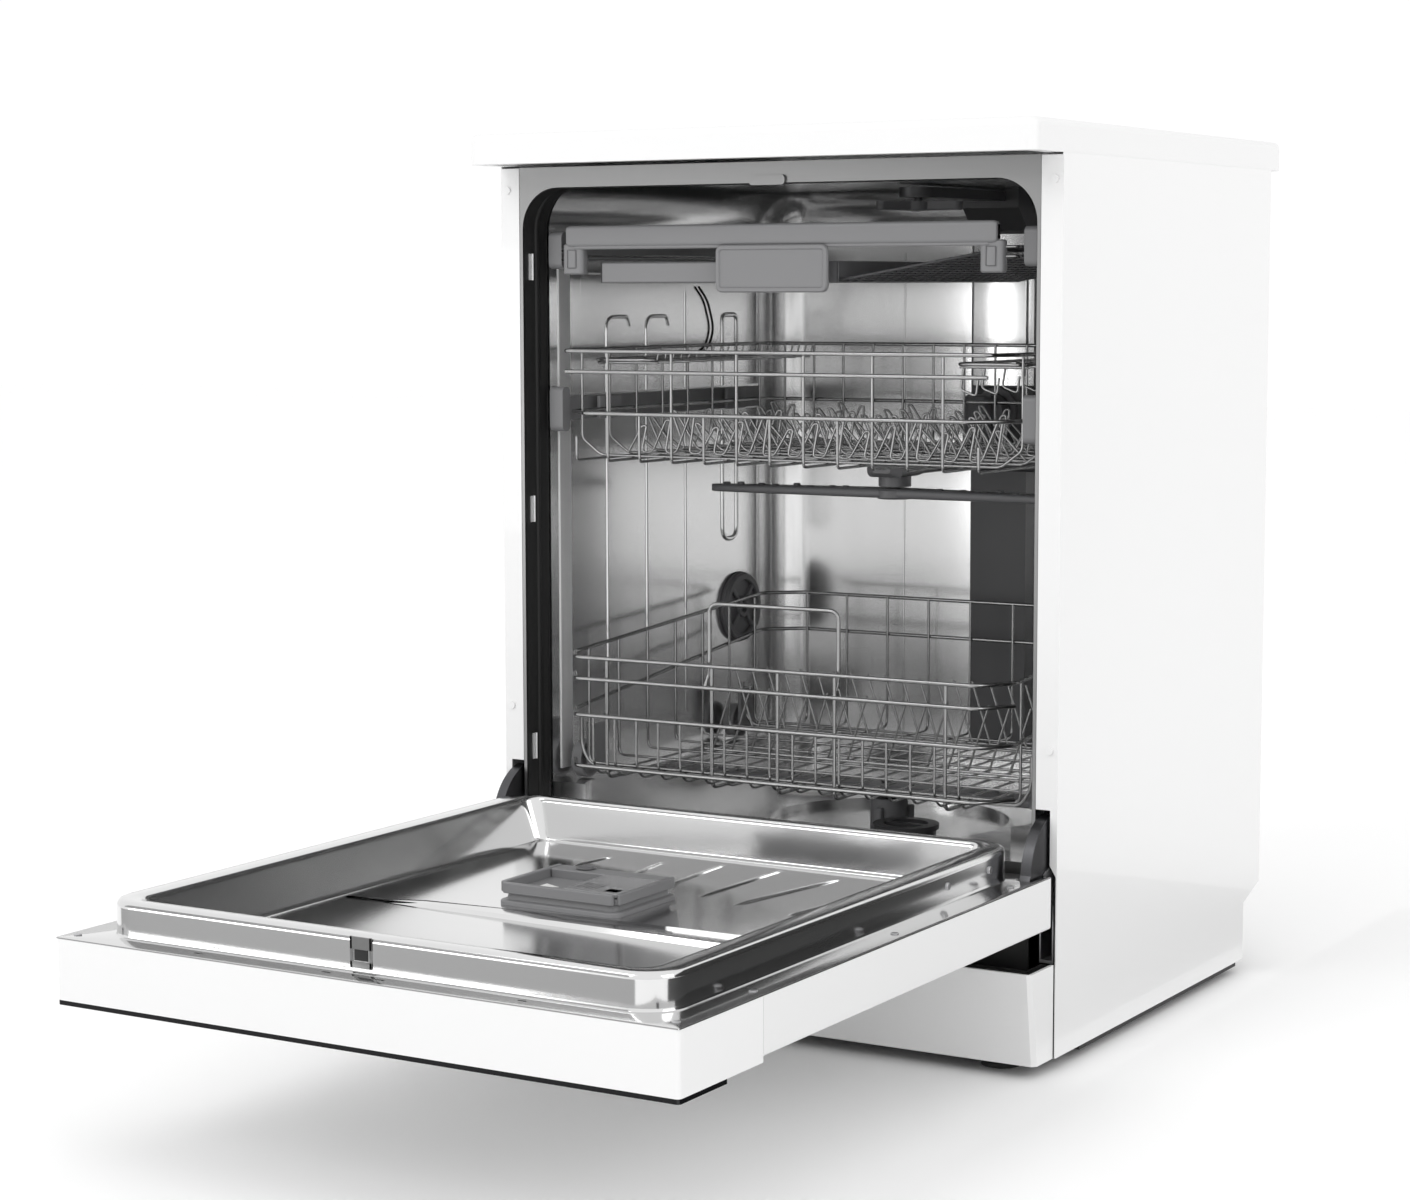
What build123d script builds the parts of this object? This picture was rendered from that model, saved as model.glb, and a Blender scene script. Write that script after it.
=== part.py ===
"""Free-standing dishwasher with its door open: cabinet, tub, door, baskets and the parts inside the base.

Frame: millimetres, +Z up from the floor, -Y towards the person who opens the door, X across the machine.
The origin is on the floor, under the middle of the machine with its door open.
"""

import os
from math import cos, radians, sin

from build123d import *

os.makedirs("parts", exist_ok=True)

# ---------------------------------------------------------------- driving dimensions
BODY_HALF = 299.0  # half of the 598 mm width
HEIGHT = 850.0
FRONT = 50.0  # front plane of the cabinet
BODY_DEPTH = 511.0  # side panels, front to rear
WORKTOP_DEPTH = 600.0
WORKTOP_THICK = 29.0
WORKTOP_OVERHANG = 57.0  # in front of the cabinet
PANEL_BOTTOM = 12.0
SHEET = 1.0  # cabinet and tub steel
DOOR_SHEET = 1.2

REAR = FRONT + BODY_DEPTH
WORKTOP_FRONT = FRONT - WORKTOP_OVERHANG
WORKTOP_REAR = WORKTOP_FRONT + WORKTOP_DEPTH
PANEL_TOP = HEIGHT - WORKTOP_THICK

OPENING_HALF = 274.0  # loading opening
OPENING_TOP = 800.0
SILL = 188.0
OPENING_CORNER = 40.0
FLANGE = 21.2  # front return flange of a side panel

TUB_HALF = 272.0
TUB_TOP = 806.0
TUB_REAR = 545.0
TUB_CORNER = 46.0
CHANNEL_HALF = 276.2  # where the gasket sits
CHANNEL_FRONT = FRONT + 19.0
CHANNEL_REAR = FRONT + 43.0
LEDGE = 211.0  # floor ledge that the lower wheels run on
FLOOR = 166.0
BASIN_RADIUS = 122.0
BASIN_FLOOR = 157.0
CENTRE_Y = 300.0  # axis of the sump and the sprayers

DOOR_HALF = 297.5
PIVOT_Y = 45.5
PIVOT_Z = 178.5
DOOR_NEAR = -594.0
DOOR_HINGE_END = 41.0
DOOR_TOP = 180.0  # inner face of the door, level when open
DOOR_UNDER = 132.0
CONSOLE_UNDER = 128.0
CONSOLE_DEPTH = 120.0
CONSOLE_REAR = DOOR_NEAR + CONSOLE_DEPTH
GLASS_UNDER = 124.0
GLASS_DEPTH = 70.0
RIM_HALF = 270.0
RIM_TOP = 210.0
RIM_NEAR = -572.0
RIM_FAR = 30.0
RIM_WIDTH = 20.0
RIM_CORNER = 34.0
LINER_FLOOR = 168.0

WIRE = 2.0  # radius of the frame wires
THIN = 1.5  # radius of the tines and floor wires
TOUCH = 0.1  # how far welded wires sink into each other


def save(part, name):
    """Label a finished piece and write its file."""
    part.label = name
    export_step(part, f"parts/{name}.step")


def group(name, solids):
    """Several separate solids that make one named piece."""
    save(Compound(label=name, children=solids), name)


def block(x, y, z):
    """A box from its low and high limits along each axis."""
    with BuildPart() as made:
        with BuildSketch(Plane.XY.offset(z[0])):
            with Locations(((x[0] + x[1]) / 2, (y[0] + y[1]) / 2)):
                Rectangle(x[1] - x[0], y[1] - y[0])
        extrude(amount=z[1] - z[0])
    return made.part


def wire(start, end, radius=WIRE):
    """A straight round wire between two points."""
    run = Vector(*end) - Vector(*start)
    with BuildPart() as made:
        with BuildSketch(Plane(origin=start, z_dir=run)):
            Circle(radius)
        extrude(amount=run.length)
    return made.part


def wires(points, radius=WIRE):
    """A bent wire as straight runs that meet at its corners."""
    return [wire(a, b, radius) for a, b in zip(points, points[1:])]


def tube_x(centre, radius, length, bore=0.0):
    """A round piece along X, centred on a point, with an optional bore."""
    low = Plane(origin=(centre[0] - length / 2, centre[1], centre[2]), z_dir=(1, 0, 0))
    with BuildPart() as made:
        with BuildSketch(low):
            Circle(radius)
            if bore:
                Circle(bore, mode=Mode.SUBTRACT)
        extrude(amount=length)
    return made.part


def tube_y(centre, radius, length, bore=0.0):
    """A round piece along +Y from a point, with an optional bore."""
    with BuildPart() as made:
        with BuildSketch(Plane(origin=centre, z_dir=(0, 1, 0))):
            Circle(radius)
            if bore:
                Circle(bore, mode=Mode.SUBTRACT)
        extrude(amount=length)
    return made.part


def tube_z(centre, radius, height, bore=0.0):
    """A round piece standing on a point, with an optional bore."""
    with BuildPart() as made:
        with BuildSketch(Plane(origin=centre)):
            Circle(radius)
            if bore:
                Circle(bore, mode=Mode.SUBTRACT)
        extrude(amount=height)
    return made.part


def mirrored(solid):
    """The same piece on the other side of the machine."""
    return mirror(solid, about=Plane.YZ)


def arch(half, bottom, top, corner):
    """Upright outline with two rounded top corners, for a sketch in the XZ plane."""
    with BuildSketch(Plane.XY, mode=Mode.PRIVATE) as outline:
        with Locations((0, (bottom + top) / 2)):
            Rectangle(2 * half, top - bottom)
        fillet(outline.vertices().group_by(Axis.Y)[-1], corner)
    return outline.sketch_local


def at_depth(y):
    """Plane facing the person, with X across and the second axis up, at a depth y."""
    return Plane(origin=(0, y, 0), x_dir=(1, 0, 0), z_dir=(0, -1, 0))


# ---------------------------------------------------------------- cabinet
with BuildPart() as worktop:
    with BuildSketch(Plane.XY.offset(PANEL_TOP)):
        with Locations((0, (WORKTOP_FRONT + WORKTOP_REAR) / 2)):
            RectangleRounded(2 * BODY_HALF - 1, WORKTOP_DEPTH, 10)
    extrude(amount=WORKTOP_THICK)
    fillet(worktop.faces().sort_by(Axis.Z)[-1].edges(), 7)
    with BuildSketch(Plane.XY.offset(PANEL_TOP)):
        with Locations((0, (WORKTOP_FRONT + WORKTOP_REAR) / 2)):
            RectangleRounded(2 * BODY_HALF - 33, WORKTOP_DEPTH - 32, 4)
    extrude(amount=WORKTOP_THICK - 12, mode=Mode.SUBTRACT)
save(worktop.part, "worktop")

PANEL_STEP = 86.5  # height of the lower rear step
PANEL_STEP_LOW = 71.0
PANEL_STEP_Y = 517.0
CUT_TOP = 238.0  # hinge cut-out in the front flange
CUT_BOTTOM = 188.0
CUT_LIP = 7.0
with BuildPart() as side_panel_right:
    with BuildSketch(Plane.YZ.offset(BODY_HALF - SHEET)):
        with BuildLine():
            Polyline(
                (FRONT, PANEL_BOTTOM),
                (PANEL_STEP_Y, PANEL_BOTTOM),
                (PANEL_STEP_Y, PANEL_STEP_LOW),
                (REAR, PANEL_STEP),
                (REAR, PANEL_TOP),
                (FRONT, PANEL_TOP),
                close=True,
            )
        make_face()
    extrude(amount=SHEET)
    with BuildSketch(at_depth(FRONT)):
        with BuildLine():
            Polyline(
                (BODY_HALF, PANEL_TOP - 2),
                (BODY_HALF - FLANGE, PANEL_TOP - 2),
                (BODY_HALF - FLANGE, CUT_TOP),
                (BODY_HALF - CUT_LIP, CUT_TOP),
                (BODY_HALF - CUT_LIP, CUT_BOTTOM),
                (BODY_HALF, CUT_BOTTOM - 12),
                close=True,
            )
        make_face()
    extrude(amount=-SHEET)
    with BuildSketch(at_depth(REAR - SHEET)):
        with Locations((BODY_HALF - 12, (PANEL_STEP + PANEL_TOP) / 2)):
            Rectangle(24, PANEL_TOP - PANEL_STEP - 4)
    extrude(amount=-SHEET)
    with BuildSketch(Plane.XY.offset(PANEL_TOP - SHEET)):
        with Locations((BODY_HALF - 7, (FRONT + REAR) / 2)):
            Rectangle(14, BODY_DEPTH - 40)
    extrude(amount=SHEET)
save(side_panel_right.part, "side_panel_right")

with BuildPart() as side_panel_left:
    add(mirrored(side_panel_right.part))
save(side_panel_left.part, "side_panel_left")

with BuildPart() as rear_panel:
    with BuildSketch(at_depth(REAR - SHEET)):
        with Locations((0, 454)):
            Rectangle(2 * (BODY_HALF - 24.5), 720)
    extrude(amount=-SHEET)
    with BuildSketch(at_depth(REAR)):
        with GridLocations(0, 230, 1, 3):
            with Locations((0, 454)):
                RectangleRounded(420, 14, 6)
    extrude(amount=-2.5)
save(rear_panel.part, "rear_panel")

THREAD_R = 13.2  # G3/4 connection
INLET_X = -200.0
DRAIN_X = -120.0
CORD_X = 200.0
SERVICE_Z = 62.0
FOOT_X = 245.0
FOOT_FRONT_Y = 52.0
FOOT_REAR_Y = 480.0
STEM = 5.0
BASE_TOP = 96.0
BASE_FLOOR = 11.9
BASE_HALF = 296.5
BASE_FRONT = 22.0
BASE_REAR = 515.0
BASE_WALL = 3.0
with BuildPart() as base_tray:
    with BuildSketch(Plane.XY.offset(BASE_FLOOR)):
        with Locations((0, (FRONT + 2 + BASE_REAR) / 2)):
            Rectangle(2 * BASE_HALF, BASE_REAR - FRONT - 2)
        with Locations((0, (BASE_FRONT + FRONT + 2) / 2)):
            Rectangle(570, FRONT + 2 - BASE_FRONT)
    extrude(amount=BASE_TOP - BASE_FLOOR)
    with BuildSketch(Plane.XY.offset(BASE_FLOOR + BASE_WALL)):
        with Locations((0, (FRONT + 2 + BASE_REAR) / 2)):
            Rectangle(2 * (BASE_HALF - BASE_WALL), BASE_REAR - FRONT - 2 - 2 * BASE_WALL)
        with Locations((0, (BASE_FRONT + FRONT + 2) / 2 + BASE_WALL)):
            Rectangle(570 - 2 * BASE_WALL, FRONT + 2 - BASE_FRONT)
    extrude(amount=BASE_TOP, mode=Mode.SUBTRACT)
    with BuildSketch(Plane.XY.offset(8)):
        with Locations((0, (105 + 498) / 2)):
            Rectangle(2 * BODY_HALF - 1, 498 - 105)
    extrude(amount=BASE_FLOOR - 8)
    with BuildSketch(Plane.XY.offset(BASE_FLOOR)):
        with Locations((0, FRONT + 4)):
            Rectangle(540, BASE_WALL)
    extrude(amount=148 - BASE_FLOOR)
    with BuildSketch(Plane.XY.offset(8)):
        with Locations((FOOT_X, FOOT_REAR_Y), (-FOOT_X, FOOT_REAR_Y)):
            Circle(20)
    extrude(amount=3.9, mode=Mode.SUBTRACT)
    with BuildSketch(Plane.XY.offset(BASE_FLOOR)):
        with GridLocations(2 * FOOT_X, FOOT_REAR_Y - FOOT_FRONT_Y, 2, 2):
            with Locations((0, (FOOT_FRONT_Y + FOOT_REAR_Y) / 2)):
                Circle(11)
    extrude(amount=20)
    with BuildSketch(Plane.XY.offset(BASE_FLOOR - 1)):
        with GridLocations(2 * FOOT_X, FOOT_REAR_Y - FOOT_FRONT_Y, 2, 2):
            with Locations((0, (FOOT_FRONT_Y + FOOT_REAR_Y) / 2)):
                Circle(STEM + 0.05)
    extrude(amount=40, mode=Mode.SUBTRACT)
    for x, radius in ((INLET_X, 10.2), (DRAIN_X, 10.2), (CORD_X, 8.2)):
        with BuildSketch(at_depth(BASE_REAR + 5)):
            with Locations((x, SERVICE_Z)):
                Circle(radius)
        extrude(amount=15, mode=Mode.SUBTRACT)
save(base_tray.part, "base_tray")


def foot(x, y):
    """Levelling foot: a round pad with a six-sided collar and a stem."""
    with BuildPart() as made:
        with BuildSketch(Plane(origin=(x, y, 0))):
            Circle(18)
        extrude(amount=5)
        chamfer(made.faces().sort_by(Axis.Z)[-1].edges(), 1)
        with BuildSketch(Plane(origin=(x, y, 5))):
            RegularPolygon(11, 6)
        extrude(amount=4.5)
        with BuildSketch(Plane(origin=(x, y, 9.5))):
            Circle(STEM)
        extrude(amount=20)
    return made.part


save(foot(-FOOT_X, FOOT_FRONT_Y), "front_foot_left")
save(foot(FOOT_X, FOOT_FRONT_Y), "front_foot_right")
group("rear_feet", [foot(-FOOT_X, FOOT_REAR_Y), foot(FOOT_X, FOOT_REAR_Y)])

PLINTH_HALF = 297.0
PLINTH_TOP = 98.0
PLINTH_BOTTOM = 12.2
PLINTH_SKIN = 3.0
PLINTH_FACE_TOP = 0.0  # the face leans: its top is further forward
PLINTH_FACE_BOTTOM = 12.0


def plinth_outline(inset):
    """Side view of the plinth's face, moved inwards by its skin."""
    with BuildSketch(Plane.XY, mode=Mode.PRIVATE) as outline:
        with BuildLine():
            Polyline(
                (FRONT - 0.5, PLINTH_BOTTOM),
                (PLINTH_FACE_BOTTOM + inset, PLINTH_BOTTOM),
                (PLINTH_FACE_TOP + inset, PLINTH_TOP),
                (FRONT - 0.5, PLINTH_TOP),
                close=True,
            )
        make_face()
    return outline.sketch_local


with BuildPart() as plinth:
    with BuildSketch(Plane.YZ.offset(-PLINTH_HALF)):
        add(plinth_outline(0))
    extrude(amount=2 * PLINTH_HALF)
    front_edges = plinth.faces().sort_by(Axis.Y)[0].edges()
    chamfer(front_edges.sort_by(Axis.X)[0], 4)
    chamfer(plinth.faces().sort_by(Axis.Y)[0].edges().sort_by(Axis.X)[-1], 4)
    with BuildSketch(Plane.YZ.offset(-PLINTH_HALF + PLINTH_SKIN)):
        add(plinth_outline(PLINTH_SKIN))
    extrude(amount=2 * (PLINTH_HALF - PLINTH_SKIN), mode=Mode.SUBTRACT)
save(plinth.part, "plinth")

SLOT_HEIGHTS = (251.0, 487.0, 724.0)
with BuildPart() as front_frame:
    with BuildSketch(at_depth(FRONT + 0.3)):
        with Locations((0, (150 + PANEL_TOP - 1.5) / 2)):
            Rectangle(2 * (BODY_HALF - FLANGE - 0.5), PANEL_TOP - 1.5 - 150)
        add(arch(OPENING_HALF, SILL, OPENING_TOP, OPENING_CORNER), mode=Mode.SUBTRACT)
    extrude(amount=-SHEET)
    with BuildSketch(at_depth(FRONT + 0.3 + SHEET)):
        add(arch(OPENING_HALF + SHEET, SILL, OPENING_TOP + SHEET, OPENING_CORNER + SHEET))
        add(arch(OPENING_HALF, SILL - 1, OPENING_TOP, OPENING_CORNER), mode=Mode.SUBTRACT)
    extrude(amount=-(CHANNEL_FRONT - FRONT - 0.3 - SHEET))
    with BuildSketch(Plane.YZ.offset(-OPENING_HALF - 3)):
        for height in SLOT_HEIGHTS:
            with Locations((FRONT + 12, height)):
                SlotOverall(26, 6, rotation=90)
    extrude(amount=2 * OPENING_HALF + 6, mode=Mode.SUBTRACT)
save(front_frame.part, "front_frame")

with BuildPart() as latch_strike:
    with BuildSketch(at_depth(FRONT + 0.2)):
        with Locations((1, 802.5)):
            RectangleRounded(38, 9, 3.5)
    extrude(amount=2.6)
    with BuildSketch(at_depth(FRONT + 0.2)):
        with Locations((1, 798.4)):
            Rectangle(16, 0.8)
    extrude(amount=-18)
save(latch_strike.part, "latch_strike")

with BuildPart() as cabinet_screws:
    for side in (-1, 1):
        for height in (292, 798):
            with BuildSketch(at_depth(FRONT - 0.1)):
                with Locations((side * (BODY_HALF - 8), height)):
                    Circle(3.6)
            extrude(amount=1.6)
        for height in (130, 440, 770):
            with BuildSketch(at_depth(REAR + 0.1)):
                with Locations((side * (BODY_HALF - 10), height)):
                    Circle(3.6)
            extrude(amount=-1.6)
group("cabinet_screws", list(cabinet_screws.part.solids()))

# ---------------------------------------------------------------- tub
CHANNEL_TOP = TUB_TOP + 0.2
with BuildPart() as tub_wrap:
    with BuildSketch(at_depth(CHANNEL_FRONT)):
        add(arch(CHANNEL_HALF + SHEET, 190, CHANNEL_TOP + SHEET, TUB_CORNER + SHEET))
        add(arch(CHANNEL_HALF, 189, CHANNEL_TOP, TUB_CORNER), mode=Mode.SUBTRACT)
    extrude(amount=-(CHANNEL_REAR - CHANNEL_FRONT))
    with BuildSketch(at_depth(CHANNEL_REAR)):
        add(arch(CHANNEL_HALF + SHEET, LEDGE, CHANNEL_TOP + SHEET, TUB_CORNER + SHEET))
        add(arch(TUB_HALF, LEDGE - 1, TUB_TOP, TUB_CORNER), mode=Mode.SUBTRACT)
    extrude(amount=-SHEET)
    with BuildSketch(at_depth(CHANNEL_REAR + SHEET)):
        add(arch(TUB_HALF + SHEET, LEDGE, TUB_TOP + SHEET, TUB_CORNER + SHEET))
        add(arch(TUB_HALF, LEDGE - 1, TUB_TOP, TUB_CORNER), mode=Mode.SUBTRACT)
    extrude(amount=-(TUB_REAR - TUB_CORNER - CHANNEL_REAR - SHEET))
save(tub_wrap.part, "tub_wrap")

BACK_FRONT = TUB_REAR - TUB_CORNER
BACK_ROUND = 44.0
with BuildPart() as back_hollow:
    with BuildSketch(at_depth(BACK_FRONT)):
        add(arch(TUB_HALF, LEDGE - 1, TUB_TOP, TUB_CORNER))
    extrude(amount=-TUB_CORNER)
    inner_rim = back_hollow.faces().sort_by(Axis.Y)[-1].edges().sort_by(Axis.Z)[1:]
    fillet(inner_rim, BACK_ROUND)

with BuildPart() as tub_back:
    with BuildSketch(at_depth(BACK_FRONT)):
        add(arch(TUB_HALF + SHEET, LEDGE, TUB_TOP + SHEET, TUB_CORNER + SHEET))
    extrude(amount=-(TUB_CORNER + SHEET))
    rear_rim = tub_back.faces().sort_by(Axis.Y)[-1].edges().sort_by(Axis.Z)[1:]
    fillet(rear_rim, BACK_ROUND + SHEET)
    add(back_hollow.part, mode=Mode.SUBTRACT)
save(tub_back.part, "tub_back")

BASIN_HALF = 242.0
BASIN_NEAR = 78.0
BASIN_FAR = 530.0
SALT_X = -160.0
SALT_Y = 424.0
FILTER_X = 45.0
FILTER_Y = 250.0


def basin_plan(grow):
    """Plan of the floor basin, grown by a wall."""
    with BuildSketch(Plane.XY, mode=Mode.PRIVATE) as plan:
        with Locations((0, (BASIN_NEAR + BASIN_FAR) / 2)):
            RectangleRounded(
                2 * (BASIN_HALF + grow), BASIN_FAR - BASIN_NEAR + 2 * grow, 40 + grow
            )
    return plan.sketch_local


with BuildPart() as tub_floor:
    with BuildSketch(Plane.XY.offset(LEDGE - SHEET)):
        with Locations((0, (CHANNEL_REAR + TUB_REAR + SHEET) / 2)):
            Rectangle(2 * (TUB_HALF + SHEET), TUB_REAR + SHEET - CHANNEL_REAR)
    extrude(amount=SHEET)
    with BuildSketch(Plane.XY.offset(SILL - SHEET)):
        with Locations((0, (FRONT + 2.5 + CHANNEL_REAR + SHEET) / 2)):
            Rectangle(2 * (TUB_HALF + SHEET), CHANNEL_REAR + SHEET - FRONT - 2.5)
    extrude(amount=SHEET)
    with BuildSketch(Plane.XY.offset(SILL)):
        with Locations((0, CHANNEL_REAR + SHEET / 2)):
            Rectangle(2 * (TUB_HALF + SHEET), SHEET)
    extrude(amount=LEDGE - SILL - SHEET)
    with BuildSketch(Plane.XY.offset(FLOOR - SHEET)):
        add(basin_plan(SHEET))
    extrude(amount=LEDGE - FLOOR + SHEET)
    rear_corners = tub_floor.edges().filter_by(Axis.Z).group_by(Axis.Y)[-1]
    fillet(rear_corners, BACK_ROUND + SHEET)
    with BuildSketch(Plane.XY.offset(FLOOR)):
        add(basin_plan(0))
    extrude(amount=LEDGE, mode=Mode.SUBTRACT)
    with BuildSketch(Plane.XY.offset(SILL)):
        with Locations((0, (FRONT + CHANNEL_REAR) / 2)):
            Rectangle(2 * TUB_HALF + 10, CHANNEL_REAR - FRONT)
    extrude(amount=40, mode=Mode.SUBTRACT)
    with BuildSketch(Plane.XY.offset(BASIN_FLOOR - SHEET)):
        with Locations((0, CENTRE_Y)):
            Circle(BASIN_RADIUS + SHEET)
    extrude(amount=FLOOR - BASIN_FLOOR)
    with BuildSketch(Plane.XY.offset(BASIN_FLOOR)):
        with Locations((0, CENTRE_Y)):
            Circle(BASIN_RADIUS)
    extrude(amount=20, mode=Mode.SUBTRACT)
    with BuildSketch(Plane.XY.offset(BASIN_FLOOR - 10)):
        with Locations((0, CENTRE_Y)):
            Circle(BASIN_RADIUS - 8)
        with Locations((SALT_X, SALT_Y)):
            Circle(31)
    extrude(amount=30, mode=Mode.SUBTRACT)
save(tub_floor.part, "tub_floor")

with BuildPart() as door_gasket:
    with BuildSketch(at_depth(CHANNEL_FRONT + 1)):
        add(arch(CHANNEL_HALF - 0.2, 191, CHANNEL_TOP - 0.2, TUB_CORNER - 0.2))
        add(arch(TUB_HALF - 0.3, 190, TUB_TOP - 4.3, TUB_CORNER - 4.3), mode=Mode.SUBTRACT)
    extrude(amount=-22)
save(door_gasket.part, "door_gasket")

VENT_Y = 461.0
VENT_Z = 353.0
with BuildPart() as vent_cap:
    with BuildSketch(Plane.YZ.offset(-TUB_HALF + 0.1)):
        with Locations((VENT_Y, VENT_Z)):
            Circle(39)
    extrude(amount=8)
    chamfer(vent_cap.faces().sort_by(Axis.X)[-1].edges(), 2)
    with BuildSketch(Plane.YZ.offset(-TUB_HALF + 3)):
        for quarter in range(4):
            with Locations((VENT_Y, VENT_Z)):
                with PolarLocations(22, 1, start_angle=45 + 90 * quarter):
                    Circle(9)
    extrude(amount=8, mode=Mode.SUBTRACT)
save(vent_cap.part, "vent_cap")

DUCT_LEFT = -20.0
DUCT_RIGHT = 45.0
DUCT_FRONT = 525.0
DUCT_BACK = TUB_REAR - 0.2
SPRAY_CEILING_Y = 335.0
DOCK_Z = 573.0
BEND = 43.8
BEND_Y = TUB_REAR - 44
BEND_Z = TUB_TOP - 44
MID_BEND = BEND * cos(radians(45))
with BuildPart() as feed_duct:
    with BuildSketch(Plane.YZ.offset(DUCT_LEFT)):
        with BuildLine():
            Polyline((BEND_Y + BEND, BEND_Z), (BEND_Y + BEND, LEDGE + 0.2), (DUCT_FRONT, LEDGE + 0.2))
            Polyline((DUCT_FRONT, LEDGE + 0.2), (DUCT_FRONT, BEND_Z), (BEND_Y, TUB_TOP - 20))
            Polyline((BEND_Y, TUB_TOP - 20), (BEND_Y, BEND_Z + BEND))
            ThreePointArc(
                (BEND_Y, BEND_Z + BEND),
                (BEND_Y + MID_BEND, BEND_Z + MID_BEND),
                (BEND_Y + BEND, BEND_Z),
            )
        make_face()
    extrude(amount=DUCT_RIGHT - DUCT_LEFT)
    with BuildSketch(Plane.XY.offset(TUB_TOP - 13)):
        with Locations((12, (SPRAY_CEILING_Y + BEND_Y - 8) / 2)):
            RectangleRounded(36, BEND_Y - SPRAY_CEILING_Y + 32, 17)
    extrude(amount=10.2)
    with BuildSketch(at_depth(DUCT_FRONT)):
        with Locations((12, DOCK_Z)):
            Circle(22)
            Circle(13, mode=Mode.SUBTRACT)
    extrude(amount=6)
    with BuildSketch(Plane.XY.offset(TUB_TOP - 22)):
        with Locations((12, SPRAY_CEILING_Y)):
            Circle(4)
    extrude(amount=10)
save(feed_duct.part, "feed_duct")

with BuildPart() as ceiling_sprayer:
    with BuildSketch(Plane.XY.offset(TUB_TOP - 26)):
        with Locations((12, SPRAY_CEILING_Y)):
            Circle(14)
            with PolarLocations(26, 3):
                SlotOverall(46, 11)
    extrude(amount=9)
    fillet(ceiling_sprayer.faces().sort_by(Axis.Z)[0].edges(), 1.5)
    with BuildSketch(Plane.XY.offset(TUB_TOP - 30)):
        with Locations((12, SPRAY_CEILING_Y)):
            Circle(4.05)
    extrude(amount=30, mode=Mode.SUBTRACT)
save(ceiling_sprayer.part, "ceiling_sprayer")

TRAY_RAIL_Z = 740.0
BASKET_RAIL_Z = 585.0
RAIL_FRONT = 96.0
rail_solids = []
for height, half in ((TRAY_RAIL_Z, 11), (BASKET_RAIL_Z, 13)):
    channel = block((264.5, 271.8), (RAIL_FRONT, 495), (height - half, height + half))
    rail_solids += [channel, mirrored(channel)]
group("rail_channels", rail_solids)

# ---------------------------------------------------------------- water parts in the base
HUB = 19.0
PIN = 8.0
ARM_UNDER = 191.0
with BuildPart() as sump:
    with BuildSketch(Plane.XY.offset(92)):
        with Locations((0, CENTRE_Y)):
            Circle(104)
    extrude(amount=BASIN_FLOOR - SHEET - 92)
    with BuildSketch(Plane.XY.offset(95)):
        with Locations((0, CENTRE_Y)):
            Circle(101)
    extrude(amount=80, mode=Mode.SUBTRACT)
    with BuildSketch(Plane.XY.offset(93)):
        with Locations((0, CENTRE_Y)):
            Circle(HUB)
    extrude(amount=ARM_UNDER - 3 - 93)
    with BuildSketch(Plane.XY.offset(ARM_UNDER - 3)):
        with Locations((0, CENTRE_Y)):
            Circle(PIN)
    extrude(amount=17)
save(sump.part, "sump")

FILTER_R = 30.0
with BuildPart() as filter_plate:
    with BuildSketch(Plane.XY.offset(BASIN_FLOOR + 0.1)):
        with Locations((0, CENTRE_Y)):
            Circle(BASIN_RADIUS - 0.6)
            Circle(HUB + 0.5, mode=Mode.SUBTRACT)
        with Locations((FILTER_X, FILTER_Y)):
            Circle(FILTER_R + 0.5, mode=Mode.SUBTRACT)
    extrude(amount=1.4)
save(filter_plate.part, "filter_plate")

with BuildPart() as microfilter:
    with BuildSketch(Plane.XY.offset(104)):
        with Locations((FILTER_X, FILTER_Y)):
            Circle(FILTER_R)
            Circle(FILTER_R - 2.5, mode=Mode.SUBTRACT)
    extrude(amount=66)
    with BuildSketch(Plane.XY.offset(168)):
        with Locations((FILTER_X, FILTER_Y)):
            Circle(FILTER_R + 3)
            Circle(FILTER_R - 8, mode=Mode.SUBTRACT)
            Rectangle(2 * FILTER_R, 7)
    extrude(amount=5)
    with BuildSketch(Plane.XY.offset(104)):
        with Locations((FILTER_X, FILTER_Y)):
            Circle(FILTER_R - 1)
    extrude(amount=2.5)
save(microfilter.part, "microfilter")

with BuildPart() as circulation_pump:
    with BuildSketch(Plane.YZ.offset(118)):
        with Locations((CENTRE_Y - 20, 62)):
            Circle(38)
    extrude(amount=34)
    with BuildSketch(Plane.YZ.offset(150)):
        with Locations((CENTRE_Y - 20, 62)):
            Circle(31)
    extrude(amount=86)
    fillet(circulation_pump.faces().sort_by(Axis.X)[-1].edges(), 6)
    with BuildSketch(Plane.YZ.offset(110)):
        with Locations((CENTRE_Y - 20, 62)):
            Circle(20)
    extrude(amount=10)
save(circulation_pump.part, "circulation_pump")

with BuildPart() as drain_pump:
    with BuildSketch(Plane.YZ.offset(-96)):
        with Locations((180, 48)):
            Circle(26)
    extrude(amount=30)
    with BuildSketch(Plane.YZ.offset(-150)):
        with Locations((180, 48)):
            Rectangle(44, 44)
    extrude(amount=56)
save(drain_pump.part, "drain_pump")

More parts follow.
